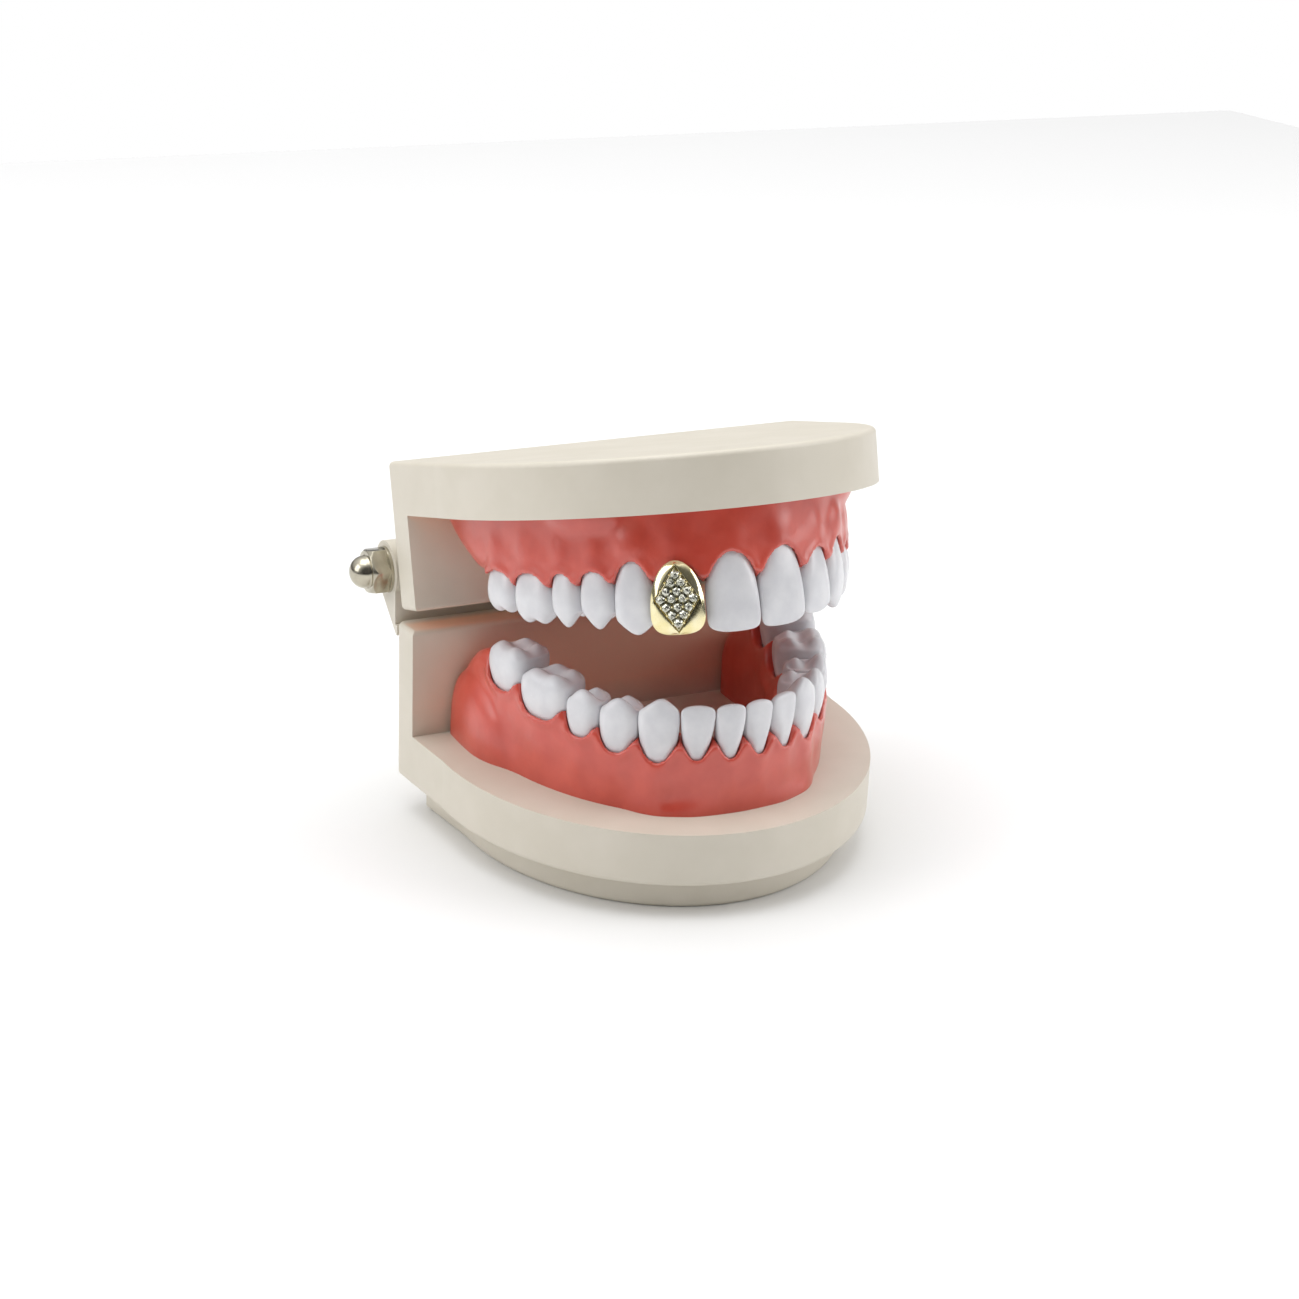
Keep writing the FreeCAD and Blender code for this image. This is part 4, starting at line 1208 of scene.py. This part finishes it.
def turned_steel():
    """Turned steel: fine lathe rings round the hinge axis, soft grey shine."""
    material, tree, bsdf, place = finish_of("turned_steel", "#9a9a98", 0.35, Metallic=1.0)
    mottled(tree, bsdf, place, "#8f8f8d", "#a5a5a2", patch_mm=3.0)
    rings = add(
        tree, "ShaderNodeTexWave", {"bands_direction": "X"}, {"Vector": place},
        Scale=size_scale(0.5) / 2, Distortion=0.4,
    )
    groove = {"Height": rings.outputs["Fac"]}
    bump = add(tree, "ShaderNodeBump", links=groove, Strength=0.3, Distance=0.01 * MM)
    tree.links.new(bump.outputs["Normal"], bsdf.inputs["Normal"])
    return material


def zinc_plate():
    """Zinc-plated steel: dull blue-grey with small crystalline patches."""
    material, tree, bsdf, place = finish_of("zinc_plate", "#8d9194", 0.4, Metallic=1.0)
    mottled(tree, bsdf, place, "#7f8488", "#a0a4a6", patch_mm=0.8)
    grained(tree, bsdf, place, grain_mm=0.4, depth_mm=0.01, strength=0.3, rough=(0.32, 0.5))
    return material


# -------------------- build
lower_row = tooth_row(LOWER_TEETH, 0.0, True, "lower")
upper_row = tooth_row(UPPER_TEETH, OVERJET, False, "upper")
lower_gum = make_lower_gum(in_order(lower_row))
upper_gum = make_upper_gum(in_order(upper_row))
cap_place = arch_matrix(CAP_RUN, -1, OVERJET, plate_top + CAP_TOOTH[3], False)
cap_pieces = [make_cap(), make_stones(), make_beads()]
for piece in cap_pieces:
    move_mesh(piece, cap_place)
for piece in [upper_gum, *upper_row.values(), *cap_pieces]:
    move_mesh(piece, opened)

ivory = ivory_abs_with_painted_bounce()
coral = cast_coral_resin()
tooth_white = pressed_white_resin()
gold = polished_pale_gold()
crystal = foiled_cut_crystal()
nickel = bright_nickel_plate()
steel = turned_steel()
zinc = zinc_plate()

for body, row in (("lower_half", lower_row), ("upper_half", upper_row)):
    for name, piece in row.items():
        fit(piece, body, tooth_white, [name])
fit(lower_gum, "lower_half", coral, ["lower_gum"])
fit(upper_gum, "upper_half", coral, ["upper_gum"])
shell, brilliants, beads = cap_pieces
fit(shell, "tooth_cap", gold, ["gold_tooth_cap"])
fit(beads, "tooth_cap", gold, [])
fit(brilliants, "tooth_cap", crystal, ["cap_stones"])
for word, side in (("right", -1), ("left", 1)):
    fit(make_nut("acorn_nut_" + word, side), "lower_half", nickel, ["domed_nut_" + word])

node_finish = {
    "lower_frame": ivory,
    "upper_frame": ivory,
    "base_foot": ivory,
    "hinge_rod": steel,
    "hinge_washer_right": nickel,
    "hinge_washer_left": nickel,
    "foot_screws": zinc,
    "lower_gum_screws": zinc,
    "upper_gum_screws": zinc,
}
for node, material in node_finish.items():
    mesh = frame["nodes"][node].data
    mesh.materials.clear()
    mesh.materials.append(material)

# -------------------- camera
view_azimuth = math.radians(-27.41)
view_elevation = math.radians(21.39)
view_roll = math.radians(2.49)
view_distance = 377.6 * MM
view_target = Vector((-10.53, -8.48, 37.89)) * MM
back = Vector((
    math.sin(view_azimuth) * math.cos(view_elevation),
    -math.cos(view_azimuth) * math.cos(view_elevation),
    math.sin(view_elevation),
))
level_right = (-back).cross(Vector((0, 0, 1))).normalized()
level_up = level_right.cross(-back)
turned_right = level_right * math.cos(view_roll) + level_up * math.sin(view_roll)
turned_up = level_up * math.cos(view_roll) - level_right * math.sin(view_roll)
camera_data = bpy.data.cameras.new("studio_camera")
camera_data.sensor_width = 36.0
camera_data.lens = 67.36
camera = bpy.data.objects.new("studio_camera", camera_data)
bpy.context.scene.collection.objects.link(camera)
axes = Matrix((turned_right, turned_up, back)).transposed().to_4x4()
camera.matrix_world = Matrix.Translation(view_target + back * view_distance) @ axes
bpy.context.scene.camera = camera

# -------------------- floor and light
# Sizes and places of the studio are in metres.
FLOOR_SIZE = 1.24
# Brightness of the room by height, from the horizon (0) to straight above (1).
SKY_LEVELS = ((0.0, 0.1), (0.12, 0.25), (0.3, 0.75), (0.6, 0.85), (1.0, 1.7))

deselect()
bpy.ops.mesh.primitive_plane_add(size=FLOOR_SIZE, location=(0, 0, 0))
floor = bpy.context.object
floor.name = "studio_floor"
floor.data.materials.append(finish_of("matte_white_floor", "#ededed", 0.9)[0])

world = bpy.data.worlds.new("studio_air")
bpy.context.scene.world = world
world.use_nodes = True
air = world.node_tree
sky = air.nodes["Background"]
direction = add(air, "ShaderNodeTexCoord").outputs["Generated"]
height = add(air, "ShaderNodeSeparateXYZ", links={"Vector": direction})
glow = add(air, "ShaderNodeValToRGB", links={"Fac": height.outputs["Z"]})
stops = glow.color_ramp.elements
for place, _ in SKY_LEVELS[1:-1]:
    stops.new(place)
for stop, (place, level) in zip(stops, SKY_LEVELS):
    stop.position = place
    stop.color = (level, level, level, 1.0)
# The room is darker on the side the object faces.
facing = add(air, "ShaderNodeVectorMath", {"operation": "DOT_PRODUCT"}, {0: direction})
facing.inputs[1].default_value = (0.0, -1.0, 0.0)
dimmed = add(
    air, "ShaderNodeMapRange", {"interpolation_type": "SMOOTHSTEP"}, {"Value": facing.outputs["Value"]},
    From_Min=0.1, From_Max=0.75, To_Min=1.0, To_Max=0.15,
)
air.links.new(glow.outputs["Color"], sky.inputs["Color"])
air.links.new(dimmed.outputs["Result"], sky.inputs["Strength"])
# Behind the floor's far edge stands a plain white paper.
paper = add(air, "ShaderNodeBackground", Color=(1.0, 1.0, 1.0, 1.0), Strength=1.0)
ray = add(air, "ShaderNodeLightPath")
layers = {0: ray.outputs["Is Camera Ray"], 1: sky.outputs[0], 2: paper.outputs[0]}
shown = add(air, "ShaderNodeMixShader", links=layers)
air.links.new(shown.outputs[0], air.nodes["World Output"].inputs["Surface"])


def soft_light(name, place, aim_height, size, power):
    """A soft box of a given (width, height), aimed above the middle of the floor."""
    data = bpy.data.lights.new(name, "AREA")
    data.shape = "RECTANGLE"
    data.size, data.size_y = size
    data.energy = power
    lamp = bpy.data.objects.new(name, data)
    bpy.context.scene.collection.objects.link(lamp)
    towards = Vector((0, 0, aim_height)) - Vector(place)
    lamp.rotation_euler = towards.to_track_quat("-Z", "Y").to_euler()
    lamp.location = place


soft_light("overhead_softbox", (-0.1, 0.1, 0.9), 0.03, (0.7, 0.7), 2.45)
soft_light("left_softbox", (-0.82, 0.08, 0.45), 0.04, (0.5, 0.6), 2.0)
soft_light("right_softbox", (0.75, -0.4, 0.42), 0.04, (0.5, 0.6), 3.1)
bpy.context.scene.view_settings.view_transform = "Standard"

deselect()
